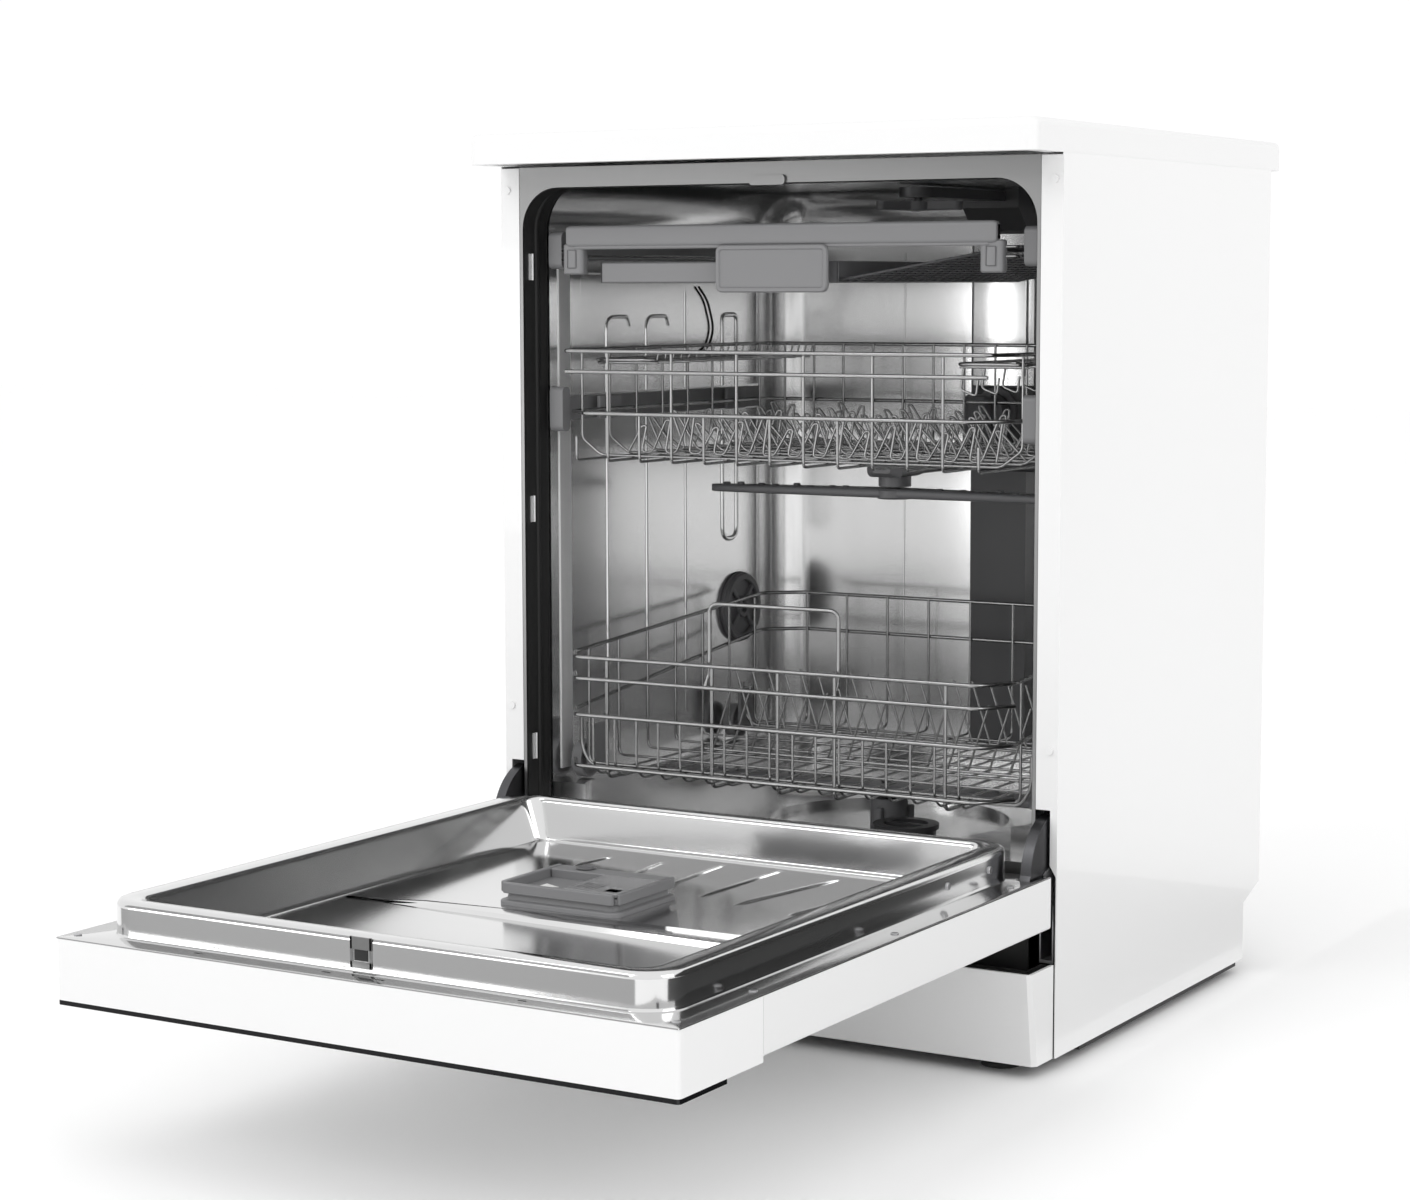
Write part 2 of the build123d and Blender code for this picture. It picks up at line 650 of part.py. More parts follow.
SALT_NECK = 30.0
with BuildPart() as salt_container:
    with BuildSketch(Plane.XY.offset(88)):
        with Locations((SALT_X, SALT_Y)):
            RectangleRounded(78, 130, 10)
    extrude(amount=70)
    with BuildSketch(Plane.XY.offset(158)):
        with Locations((SALT_X, SALT_Y)):
            Circle(SALT_NECK)
    extrude(amount=10)
    with BuildSketch(Plane.XY.offset(FLOOR + 0.2)):
        with Locations((SALT_X, SALT_Y)):
            Circle(SALT_NECK + 7)
    extrude(amount=3)
    with BuildSketch(Plane.XY.offset(92)):
        with Locations((SALT_X, SALT_Y)):
            RectangleRounded(70, 122, 6)
    extrude(amount=62, mode=Mode.SUBTRACT)
    with BuildSketch(Plane.XY.offset(150)):
        with Locations((SALT_X, SALT_Y)):
            Circle(SALT_NECK - 5)
    extrude(amount=30, mode=Mode.SUBTRACT)
save(salt_container.part, "salt_container")

with BuildPart() as salt_cap:
    with BuildSketch(Plane.XY.offset(FLOOR + 3.4)):
        with Locations((SALT_X, SALT_Y)):
            Circle(SALT_NECK + 6)
    extrude(amount=7)
    fillet(salt_cap.faces().sort_by(Axis.Z)[-1].edges(), 2)
    with BuildSketch(Plane.XY.offset(FLOOR + 10)):
        with Locations((SALT_X, SALT_Y)):
            SlotOverall(56, 12)
    extrude(amount=7)
    with BuildSketch(Plane.XY.offset(156)):
        with Locations((SALT_X, SALT_Y)):
            Circle(SALT_NECK - 6)
    extrude(amount=14)
save(salt_cap.part, "salt_cap")

with BuildPart() as inlet_valve:
    add(block((INLET_X - 22, INLET_X + 22), (BASE_REAR - 46, BASE_REAR - 3.2), (40, 84)))
    add(tube_y((INLET_X, BASE_REAR - 3.2, SERVICE_Z), 10, 10))
    add(tube_y((INLET_X, BASE_REAR + 4, SERVICE_Z), THREAD_R, 18, bore=6))
save(inlet_valve.part, "inlet_valve")

with BuildPart() as drain_spigot:
    add(tube_y((DRAIN_X, BASE_REAR - 20, SERVICE_Z), 10, 56, bore=8))
    add(tube_y((DRAIN_X, BASE_REAR + 0.2, SERVICE_Z), 18, 3, bore=8))
save(drain_spigot.part, "drain_spigot")

with BuildPart() as cable_gland:
    add(tube_y((CORD_X, BASE_REAR - 12, SERVICE_Z), 8, 12.2, bore=3.6))
    add(tube_y((CORD_X, BASE_REAR + 0.1, SERVICE_Z), 12, 10, bore=3.6))
save(cable_gland.part, "cable_gland")

with BuildPart() as counterweight:
    add(block((-110, 190), (400, 455), (15.2, 92)))
    chamfer(counterweight.edges(), 4)
save(counterweight.part, "counterweight")

with BuildPart() as water_break_box:
    add(block((-295, -279.5), (150, 400), (300, 640)))
    fillet(water_break_box.edges().filter_by(Axis.X), 20)
save(water_break_box.part, "water_break_box")

# ---------------------------------------------------------------- door
with BuildPart() as door_outer_panel:
    add(block((-DOOR_HALF, DOOR_HALF), (CONSOLE_REAR + 0.5, DOOR_HINGE_END), (DOOR_UNDER, 178.7)))
    long_edges = door_outer_panel.edges().filter_by(Axis.Y).group_by(Axis.Z)[0]
    fillet(long_edges, 3)
    add(
        block(
            (-DOOR_HALF + DOOR_SHEET, DOOR_HALF - DOOR_SHEET),
            (CONSOLE_REAR - 1, DOOR_HINGE_END - DOOR_SHEET),
            (DOOR_UNDER + DOOR_SHEET, 180),
        ),
        mode=Mode.SUBTRACT,
    )
    for side in (-1, 1):
        notch = block((276, 294), (30, 45), (160, 180))
        add(notch if side > 0 else mirrored(notch), mode=Mode.SUBTRACT)
save(door_outer_panel.part, "door_outer_panel")

BUTTON_R = 9.0
BUTTON_X = 225.0
BUTTON_Y = DOOR_NEAR + 35
CONSOLE_WALL = 2.5
with BuildPart() as control_console:
    add(block((-DOOR_HALF, DOOR_HALF), (DOOR_NEAR, CONSOLE_REAR), (CONSOLE_UNDER, 178.7)))
    fillet(control_console.edges().filter_by(Axis.Z).group_by(Axis.Y)[0], 4)
    add(
        block(
            (-DOOR_HALF + CONSOLE_WALL, DOOR_HALF - CONSOLE_WALL),
            (DOOR_NEAR + CONSOLE_WALL, CONSOLE_REAR + 1),
            (CONSOLE_UNDER + CONSOLE_WALL, 180),
        ),
        mode=Mode.SUBTRACT,
    )
    with BuildSketch(Plane.XY.offset(CONSOLE_UNDER - 1)):
        with Locations((-BUTTON_X, BUTTON_Y), (BUTTON_X, BUTTON_Y)):
            Circle(BUTTON_R + 0.4)
    extrude(amount=6, mode=Mode.SUBTRACT)
save(control_console.part, "control_console")

with BuildPart() as console_glass:
    with BuildSketch(Plane.XY.offset(GLASS_UNDER)):
        with Locations((0, DOOR_NEAR + GLASS_DEPTH / 2)):
            RectangleRounded(2 * DOOR_HALF - 0.6, GLASS_DEPTH - 0.6, 3)
        with Locations((-BUTTON_X, BUTTON_Y), (BUTTON_X, BUTTON_Y)):
            Circle(BUTTON_R + 0.4, mode=Mode.SUBTRACT)
    extrude(amount=CONSOLE_UNDER - GLASS_UNDER - 0.1)
save(console_glass.part, "console_glass")

for button_name, side in (("power_button", -1), ("start_button", 1)):
    with BuildPart() as button:
        with BuildSketch(Plane.XY.offset(GLASS_UNDER - 0.6)):
            with Locations((side * BUTTON_X, BUTTON_Y)):
                Circle(BUTTON_R)
        extrude(amount=10)
        fillet(button.faces().sort_by(Axis.Z)[0].edges(), 0.5)
    save(button.part, button_name)

DISP_LEFT = -95.0
DISP_RIGHT = 30.0
DISP_NEAR = -260.0
DISP_FAR = -157.0
DISP_TOP = 188.0
LATCH_X = -2.5
LATCH_Z = 194.0


def rim_plan(inset):
    """Plan of the door's raised rim, moved inwards."""
    with BuildSketch(Plane.XY, mode=Mode.PRIVATE) as plan:
        with Locations((0, (RIM_NEAR + RIM_FAR) / 2)):
            RectangleRounded(
                2 * (RIM_HALF - inset), RIM_FAR - RIM_NEAR - 2 * inset, max(RIM_CORNER - inset, 8)
            )
    return plan.sketch_local


with BuildPart() as door_liner:
    with BuildSketch(Plane.XY.offset(DOOR_TOP - DOOR_SHEET)):
        with Locations((0, (DOOR_NEAR + DOOR_HINGE_END) / 2)):
            Rectangle(2 * DOOR_HALF, DOOR_HINGE_END - DOOR_NEAR)
    extrude(amount=DOOR_SHEET)
    with BuildSketch(Plane.XY.offset(DOOR_TOP - DOOR_SHEET)):
        add(rim_plan(0))
    extrude(amount=RIM_TOP - DOOR_TOP + DOOR_SHEET)
    fillet(door_liner.faces().sort_by(Axis.Z)[-1].edges(), 3)
    with BuildSketch(Plane.XY.offset(DOOR_TOP - DOOR_SHEET - 1)):
        add(rim_plan(DOOR_SHEET))
    extrude(amount=RIM_TOP - DOOR_TOP + 1, mode=Mode.SUBTRACT)
    with BuildSketch(Plane.XY.offset(LINER_FLOOR - DOOR_SHEET)):
        add(rim_plan(RIM_WIDTH + 4 - DOOR_SHEET))
    extrude(amount=RIM_TOP - LINER_FLOOR, taper=-3)
    with BuildSketch(Plane.XY.offset(LINER_FLOOR)):
        add(rim_plan(RIM_WIDTH + 4))
    extrude(amount=RIM_TOP - LINER_FLOOR + 1, taper=-3, mode=Mode.SUBTRACT)
    for side in (-1, 1):
        notch = block((277, 293), (10, 45), (170, 190))
        add(notch if side > 0 else mirrored(notch), mode=Mode.SUBTRACT)
    add(block((DISP_LEFT + 6, DISP_RIGHT - 6), (DISP_NEAR + 6, DISP_FAR - 6), (160, 172)), mode=Mode.SUBTRACT)
    add(
        block((LATCH_X - 10.5, LATCH_X + 10.5), (RIM_NEAR - 1, RIM_NEAR + 3), (LATCH_Z - 8, 220)),
        mode=Mode.SUBTRACT,
    )
    recess = block((LATCH_X - 11, LATCH_X + 11), (RIM_NEAR + 3, RIM_NEAR + 4.2), (LATCH_Z - 9, RIM_TOP))
    add(recess)
    add(block((LATCH_X - 5.8, LATCH_X + 5.8), (RIM_NEAR, RIM_NEAR + 6), (190, 199)), mode=Mode.SUBTRACT)
save(door_liner.part, "door_liner")

with BuildPart() as latch_hook:
    add(block((LATCH_X - 4, LATCH_X + 4), (RIM_NEAR + 3.5, RIM_NEAR + 15), (192, 197)))
    fillet(latch_hook.edges().filter_by(Axis.X), 1)
    add(tube_x((LATCH_X, RIM_NEAR + 9, 194.5), 0.8, 20), mode=Mode.SUBTRACT)
save(latch_hook.part, "latch_hook")

with BuildPart() as door_insulation:
    add(block((-285, 285), (CONSOLE_REAR + 12, 20), (DOOR_UNDER + DOOR_SHEET + 0.2, 144)))
save(door_insulation.part, "door_insulation")

LID_LENGTH = 56.0
LID_TRAVEL = 57.0
BAY_NEAR = DISP_NEAR + 6
BAY_FAR = DISP_NEAR + 76
with BuildPart() as dispenser_body:
    add(block((DISP_LEFT, DISP_RIGHT), (DISP_NEAR, DISP_FAR), (LINER_FLOOR + 0.1, DISP_TOP)))
    fillet(dispenser_body.edges().filter_by(Axis.Z), 6)
    add(
        block(
            (DISP_LEFT + 8, DISP_RIGHT - 8),
            (DISP_NEAR + 8, DISP_FAR - 8),
            (152, LINER_FLOOR + 0.2),
        )
    )
    add(
        block((DISP_LEFT + 5, DISP_LEFT + 62), (BAY_NEAR, BAY_FAR), (172, 200)),
        mode=Mode.SUBTRACT,
    )
    add(
        block((DISP_LEFT + 4, DISP_RIGHT - 3), (BAY_NEAR, BAY_FAR), (DISP_TOP - 4.2, 200)),
        mode=Mode.SUBTRACT,
    )
save(dispenser_body.part, "dispenser_body")

with BuildPart() as dispenser_lid:
    add(
        block(
            (DISP_RIGHT - 4 - LID_LENGTH, DISP_RIGHT - 4),
            (BAY_NEAR + 0.5, BAY_FAR - 0.5),
            (DISP_TOP - 4, DISP_TOP),
        )
    )
    with BuildSketch(Plane.XY.offset(DISP_TOP - 1)):
        with Locations((DISP_RIGHT - 48, BAY_NEAR + 12)):
            Rectangle(14, 9)
    extrude(amount=2, mode=Mode.SUBTRACT)
save(dispenser_lid.part, "dispenser_lid")

with BuildPart() as rinse_aid_cap:
    with BuildSketch(Plane.XY.offset(DISP_TOP + 0.1)):
        with Locations((-60, DISP_FAR - 13)):
            Circle(9.5)
    extrude(amount=1.2)
    with BuildSketch(Plane.XY.offset(DISP_TOP + 1)):
        with Locations((-60, DISP_FAR - 13)):
            Rectangle(15, 3)
    extrude(amount=1.2)
save(rinse_aid_cap.part, "rinse_aid_cap")

# ---------------------------------------------------------------- hinges
HINGE_PIN = 3.0
ARM_IN = 280.0
ARM_OUT = 290.0
with BuildPart() as hinge_arm:
    with BuildSketch(Plane.YZ.offset(ARM_IN)):
        with BuildLine():
            Polyline((-40, 165), (-40, 178.4), (11, 178.4), (14, 184))
            ThreePointArc((14, 184), (27, 215), (57, 233))
            Polyline((57, 233), (64, 226), (56, 205), (53, 186), (54, 172), (38, 168), (10, 165), (-40, 165))
        make_face()
        with Locations((PIVOT_Y, PIVOT_Z)):
            Circle(HINGE_PIN + 0.05, mode=Mode.SUBTRACT)
    extrude(amount=ARM_OUT - ARM_IN)
group("hinge_arms", [hinge_arm.part, mirrored(hinge_arm.part)])

CHEEK_IN = 278.2
CHEEK_OUT = 291.7
CHEEK = 1.2
with BuildPart() as hinge_bracket:
    for start in (CHEEK_IN, CHEEK_OUT - CHEEK):
        with BuildSketch(Plane.YZ.offset(start)):
            with BuildLine():
                Polyline((39.5, 176), (39.5, 181), (43, 184), (68, 190), (110, 190), (110, 150))
                Polyline((110, 150), (110, BASE_TOP), (60, BASE_TOP), (60, 150), (39.5, 176))
            make_face()
        extrude(amount=CHEEK)
    add(block((CHEEK_IN, CHEEK_OUT), (60, 110), (BASE_TOP, BASE_TOP + 3)))
    with BuildSketch(Plane.YZ.offset(CHEEK_IN)):
        with Locations((PIVOT_Y, PIVOT_Z)):
            Circle(HINGE_PIN)
    extrude(amount=CHEEK_OUT - CHEEK_IN)
group("hinge_brackets", [hinge_bracket.part, mirrored(hinge_bracket.part)])

spring = tube_y((286, 130, 114), 8, 190, bore=6)
group("hinge_springs", [spring, mirrored(spring)])

# ---------------------------------------------------------------- sprayers
def spray_arm(x, y, under, reach, width, thick, boss, bore):
    """A long blade with rounded ends, a boss in the middle and a bore for its pin."""
    with BuildPart() as made:
        with BuildSketch(Plane.XY.offset(under)):
            with Locations((x, y)):
                SlotOverall(2 * reach, width)
                Circle(boss)
        extrude(amount=thick)
        fillet(made.faces().sort_by(Axis.Z)[-1].edges(), thick * 0.4)
        with BuildSketch(Plane.XY.offset(under - 1)):
            with Locations((x, y)):
                Circle(bore)
        extrude(amount=thick + 2, mode=Mode.SUBTRACT)
    return made.part


save(spray_arm(0, CENTRE_Y, ARM_UNDER, 216, 44, 13, 30, PIN + 0.05), "lower_spray_arm")

UPPER_ARM_UNDER = 492.0
UPPER_PIN = 6.0
UPPER_X = 5.0
save(spray_arm(UPPER_X, CENTRE_Y, UPPER_ARM_UNDER, 213, 34, 12, 22, UPPER_PIN + 0.05), "upper_spray_arm")

# ---------------------------------------------------------------- upper basket
UP_FRONT = 52.0
UP_REAR = 470.0
UP_HALF = 242.0
UP_NOSE = 226.0
UP_CHAMFER_Y = 88.0
UP_RIM = 643.0
UP_MID = 623.0
UP_LOW = 583.0
UP_BOTTOM = 540.0


def rim_runs(half, nose, front, chamfer_y, rear, height):
    """Front, the two angled corners, the two sides and the rear of a basket's rim."""
    around = [(-nose, front), (nose, front), (half, chamfer_y), (half, rear), (-half, rear)]
    around += [(-half, chamfer_y), (-nose, front)]
    return wires([(x, y, height) for x, y in around])


upper = rim_runs(UP_HALF, UP_NOSE, UP_FRONT, UP_CHAMFER_Y, UP_REAR, UP_RIM)
upper += wires([(-UP_NOSE, UP_FRONT, UP_MID), (UP_NOSE, UP_FRONT, UP_MID)])
upper += wires([(-204, UP_FRONT, UP_LOW), (204, UP_FRONT, UP_LOW)])
upper += wires([(-UP_HALF, UP_REAR, UP_LOW), (UP_HALF, UP_REAR, UP_LOW)])
inside = WIRE + THIN - TOUCH
for side in (-1, 1):
    upper += wires([(side * UP_HALF, UP_CHAMFER_Y, UP_LOW), (side * UP_HALF, UP_REAR, UP_LOW)])
    upper += wires([(side * 204, UP_FRONT, UP_LOW), (side * UP_HALF, UP_CHAMFER_Y, UP_LOW)])
    for count in range(8):
        y = UP_CHAMFER_Y + 12 + 50 * count
        foot_x = side * (UP_HALF - inside)
        upper += wires([(foot_x, y, UP_RIM), (foot_x, y, UP_BOTTOM)], THIN)
for x in (-204, -140, -70, 0, 70, 140, 204):
    upper += wires([(x, UP_FRONT + inside, UP_MID), (x, UP_FRONT + inside, UP_BOTTOM)], THIN)
    upper += wires([(x, UP_REAR - inside, UP_RIM), (x, UP_REAR - inside, UP_BOTTOM)], THIN)
for count in range(13):
    x = -216 + 36 * count
    floor_z = UP_BOTTOM - 2 * THIN + TOUCH
    upper += wires([(x, UP_FRONT + inside, floor_z), (x, UP_REAR - inside, floor_z)], THIN)
for count in range(8):
    y = UP_CHAMFER_Y + 12 + 50 * count
    upper += wires([(-UP_HALF + inside, y, UP_BOTTOM), (UP_HALF - inside, y, UP_BOTTOM)], THIN)
for side in (-1, 1):
    for y in (140, 390):
        carrier = block((UP_HALF + WIRE - TOUCH, 247.5), (y, y + 40), (574, 596))
        upper.append(carrier if side > 0 else mirrored(carrier))

with BuildPart() as upper_feed_tube:
    add(block((UPPER_X - 14, UPPER_X + 14), (CENTRE_Y - 20, 500), (514, 531)))
    add(block((UPPER_X - 14, UPPER_X + 14), (480, 500), (514, 592)))
    fillet(upper_feed_tube.edges().filter_by(Axis.Y), 5)
    with BuildSketch(at_depth(500)):
        with Locations((12, DOCK_Z)):
            Circle(17)
            Circle(11, mode=Mode.SUBTRACT)
    extrude(amount=-16)
    with BuildSketch(Plane.XY.offset(UPPER_ARM_UNDER + 1)):
        with Locations((UPPER_X, CENTRE_Y)):
            Circle(UPPER_PIN)
    extrude(amount=24)
    with BuildSketch(Plane.XY.offset(UPPER_ARM_UNDER + 12.3)):
        with Locations((UPPER_X, CENTRE_Y)):
            Circle(17)
    extrude(amount=11)
upper.append(upper_feed_tube.part)
group("upper_basket", upper)

SHELF_HINGE_X = 234.0
SHELF_HINGE_Z = 633.0
SHELF_REACH = 72.0
for shelf_name, side in (("cup_shelf_left", -1), ("cup_shelf_right", 1)):
    shelf = wires(
        [
            (side * SHELF_HINGE_X, 110, SHELF_HINGE_Z),
            (side * SHELF_HINGE_X, 440, SHELF_HINGE_Z),
        ],
        THIN,
    )
    tip_x = side * (SHELF_HINGE_X - SHELF_REACH)
    shelf += wires([(tip_x, 110, SHELF_HINGE_Z), (tip_x, 440, SHELF_HINGE_Z)], THIN)
    for count in range(12):
        y = 112 + 29.6 * count
        under = SHELF_HINGE_Z - 2 * THIN + TOUCH
        shelf += wires([(side * SHELF_HINGE_X, y, under), (tip_x, y, under)], THIN)
    group(shelf_name, shelf)

RAIL_IN = 257.0
RAIL_OUT = 261.5


def slide_pair(height, half_height, cap_half):
    """Left and right sliding rails with their end caps."""
    rail = block((RAIL_IN, RAIL_OUT), (93, 480), (height - half_height, height + half_height))
    with BuildPart() as cap:
        with BuildSketch(Plane.YZ.offset(RAIL_IN - 9)):
            with Locations((86, height)):
                RectangleRounded(13.9, 2 * cap_half, 6)
        extrude(amount=15)
    return [rail, cap.part, mirrored(rail), mirrored(cap.part)]


group("upper_rails", slide_pair(BASKET_RAIL_Z, 11, 22))
group("tray_rails", slide_pair(TRAY_RAIL_Z, 9, 18))

# ---------------------------------------------------------------- cutlery tray
TRAY_NEAR = 72.0
TRAY_FAR = 470.0
TRAY_SKIN = 2.5
WING_IN = 62.0
WING_OUT = 219.0
tray = []
with BuildPart() as tray_front:
    with BuildSketch(at_depth(68)):
        with Locations((0, 753)):
            RectangleRounded(462, 20, 8)
    extrude(amount=10)
    with BuildSketch(at_depth(61)):
        with Locations((0, 722)):
            RectangleRounded(121, 44, 7)
    extrude(amount=5)
    for side in (-1, 1):
        ear = block((212, 236), (61, TRAY_NEAR + 2), (716, 748))
        add(ear if side > 0 else mirrored(ear))
save(tray_front.part, "tray_front")

with BuildPart() as cutlery_tray:
    add(block((-200, WING_IN), (TRAY_NEAR + 3, TRAY_FAR), (708, 728)))
    add(
        block(
            (-200 + TRAY_SKIN, WING_IN - TRAY_SKIN),
            (TRAY_NEAR + 3 + TRAY_SKIN, TRAY_FAR - TRAY_SKIN),
            (708 + TRAY_SKIN, 730),
        ),
        mode=Mode.SUBTRACT,
    )
    with BuildSketch(at_depth(TRAY_NEAR + 3)):
        with BuildLine():
            Polyline(
                (WING_IN - 1, 709),
                (WING_OUT, 735),
                (WING_OUT, 735 + TRAY_SKIN),
                (WING_IN - 1, 709 + TRAY_SKIN),
                close=True,
            )
        make_face()
    extrude(amount=-(TRAY_FAR - TRAY_NEAR - 3))
    with BuildSketch(Plane.XY.offset(700)):
        with Locations((-69, (TRAY_NEAR + TRAY_FAR) / 2 + 4)):
            with GridLocations(0, 30, 1, 12):
                Rectangle(236, 14)
        with Locations((141, (TRAY_NEAR + TRAY_FAR) / 2 + 4)):
            with GridLocations(0, 30, 1, 12):
                Rectangle(130, 14)
    extrude(amount=50, mode=Mode.SUBTRACT)
save(cutlery_tray.part, "cutlery_tray")

# ---------------------------------------------------------------- lower basket
LOW_FRONT = 51.0
LOW_REAR = 488.0
LOW_HALF = 240.0
LOW_NOSE = 216.0
LOW_CHAMFER_Y = 86.0
LOW_RIM = 345.0
LOW_MID = 324.0
LOW_THIRD = 288.0
LOW_BOTTOM = 230.0
REAR_RIM = 370.0
FLOOR_START = 14.0  # keeps the floor wires clear of the door's rim as it swings up

lower = []
for height in (LOW_RIM, LOW_MID, LOW_THIRD):
    lower += wires(
        [
            (-LOW_HALF, LOW_CHAMFER_Y, height),
            (-LOW_NOSE, LOW_FRONT, height),
            (LOW_NOSE, LOW_FRONT, height),
            (LOW_HALF, LOW_CHAMFER_Y, height),
        ]
    )
for height, front_height in ((REAR_RIM, LOW_RIM), (330.0, LOW_THIRD)):
    lower += wires([(-200, LOW_REAR, height), (200, LOW_REAR, height)])
    for side in (-1, 1):
        lower += wires(
            [
                (side * 200, LOW_REAR, height),
                (side * LOW_HALF, LOW_REAR - 40, height),
                (side * LOW_HALF, LOW_CHAMFER_Y, front_height),
            ]
        )
for side in (-1, 1):
    for count in range(7):
        y = LOW_CHAMFER_Y + 20 + 55 * count
        side_x = side * (LOW_HALF - inside)
        top = LOW_RIM + (REAR_RIM - LOW_RIM) * (y - LOW_CHAMFER_Y) / (LOW_REAR - 40 - LOW_CHAMFER_Y)
        lower += wires([(side_x, y, top), (side_x, y, LOW_BOTTOM)], THIN)
for x in (-182, -63, 9, 70, 185):
    lower += wires([(x, LOW_FRONT + inside, LOW_RIM), (x, LOW_FRONT + inside, LOW_BOTTOM)], THIN)
for x in (-180, -108, -36, 36, 108, 180):
    lower += wires([(x, LOW_REAR - inside, REAR_RIM), (x, LOW_REAR - inside, LOW_BOTTOM)], THIN)
for count in range(12):
    x = -198 + 36 * count
    floor_z = LOW_BOTTOM - 2 * THIN + TOUCH
    lower += wires([(x, LOW_FRONT + FLOOR_START, floor_z), (x, LOW_REAR - inside, floor_z)], THIN)
for count in range(7):
    y = LOW_CHAMFER_Y + 20 + 55 * count
    lower += wires([(-LOW_HALF + inside, y, LOW_BOTTOM), (LOW_HALF - inside, y, LOW_BOTTOM)], THIN)
HANDLE_HALF = 70.0
HANDLE_TOP = 404.0
HANDLE_Y = 62.0
lower += wires(
    [
        (-HANDLE_HALF, HANDLE_Y, LOW_MID),
        (-HANDLE_HALF, HANDLE_Y, HANDLE_TOP),
        (HANDLE_HALF, HANDLE_Y, HANDLE_TOP),
        (HANDLE_HALF, HANDLE_Y, LOW_MID),
    ]
)
WHEEL_R = 19.0
WHEEL_Z = LEDGE + 1 + WHEEL_R
WHEEL_IN = 250.0
AXLE = 4.0
wheel_rows = (130.0, 430.0)
for side in (-1, 1):
    for y in wheel_rows:
        bracket = block((241.5, 245), (y - 12, y + 12), (LOW_BOTTOM - 4, 262))
        lower.append(bracket if side > 0 else mirrored(bracket))
        axle = tube_x((254, y, WHEEL_Z), AXLE, 18.2)
        lower.append(axle if side > 0 else mirrored(axle))
group("lower_basket", lower)

for wheels_name, y in zip(("front_wheels", "rear_wheels"), wheel_rows):
    wheel = tube_x((WHEEL_IN + 6.5, y, WHEEL_Z), WHEEL_R, 12, bore=AXLE + 0.05)
    group(wheels_name, [wheel, mirrored(wheel)])

TINE = 72.0
LEAN = radians(18)


def tine_row(y, first_x, pitch, count, lean):
    """A base wire across the basket with a row of leaning tines on it."""
    base_z = LOW_BOTTOM + 2 * THIN + 4
    last_x = first_x + pitch * (count - 1)
    row = wires([(first_x - 8, y, base_z), (last_x + 8, y, base_z)], THIN)
    for step in range(count):
        x = first_x + pitch * step
        low = (x, y + 2 * THIN - TOUCH, base_z - 2)
        high = (x + lean * TINE * sin(LEAN), y + 2 * THIN - TOUCH, base_z + TINE * cos(LEAN))
        row += wires([low, high], THIN)
    return row


group("front_tines", tine_row(200, -150, 22, 16, 1))
group("rear_tines", tine_row(350, -190, 20, 20, -1))
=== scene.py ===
# %% [markdown]
# # A free-standing dishwasher with its door open
# The solid model already holds every part in its real place and size. This lesson dresses it: each visible
# part gets a finish made of shader nodes, and the parts that need finer shapes are rebuilt here as meshes.
# Everything is in metres, with +Z up and the user standing on the -Y side.

# %% Load the solid model
import math

import bmesh
import bpy
from mathutils import Matrix, Vector


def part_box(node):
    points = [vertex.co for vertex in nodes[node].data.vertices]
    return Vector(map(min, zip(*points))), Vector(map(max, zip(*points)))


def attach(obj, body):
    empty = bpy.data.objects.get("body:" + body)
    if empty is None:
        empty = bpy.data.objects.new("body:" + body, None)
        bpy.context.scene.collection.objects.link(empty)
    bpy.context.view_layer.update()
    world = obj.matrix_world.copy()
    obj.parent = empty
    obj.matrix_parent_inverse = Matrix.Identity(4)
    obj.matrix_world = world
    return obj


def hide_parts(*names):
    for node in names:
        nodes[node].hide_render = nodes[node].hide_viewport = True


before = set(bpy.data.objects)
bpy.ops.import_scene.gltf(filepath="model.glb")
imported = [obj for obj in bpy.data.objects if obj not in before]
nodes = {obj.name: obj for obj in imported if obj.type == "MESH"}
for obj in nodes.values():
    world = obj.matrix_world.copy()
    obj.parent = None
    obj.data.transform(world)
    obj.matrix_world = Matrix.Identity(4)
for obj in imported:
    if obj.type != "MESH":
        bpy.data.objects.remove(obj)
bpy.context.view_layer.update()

# %% [markdown]
# ## The camera
# The view is from the right of the open door, a little above the baskets. A long lens keeps the cabinet's
# upright edges almost parallel, so the sides look square. The camera is placed by its three turns: a
# pitch down, a very slight roll, and a yaw towards the machine.

# %% Camera
CAMERA_PLACE = Vector((1.38586, -2.36622, 0.70617))
YAW = math.radians(31.03)
PITCH_DOWN = math.radians(6.026)
ROLL = math.radians(-0.13)
LENS = 76.21

camera_data = bpy.data.cameras.new("camera")
camera_data.lens = LENS
camera_data.sensor_width = 36.0
camera_data.clip_start = 0.05
camera = bpy.data.objects.new("camera", camera_data)
bpy.context.scene.collection.objects.link(camera)
turn = Matrix.Rotation(YAW, 4, "Z") @ Matrix.Rotation(math.radians(90) - PITCH_DOWN, 4, "X")
camera.matrix_world = Matrix.Translation(CAMERA_PLACE) @ turn @ Matrix.Rotation(ROLL, 4, "Z")
bpy.context.scene.camera = camera
print("camera at", tuple(round(v, 3) for v in camera.matrix_world.translation))

# %% [markdown]
# ## Finishes
# A real surface is never one flat number. Every finish here starts from the Principled shader and adds two
# things: noise that shifts the roughness a little, and a fine bump. Metal that was rolled or brushed gets
# noise stretched along one direction, and moulded plastic gets a fine round grain. Colours that are the same
# all over stay on the shader's own socket.

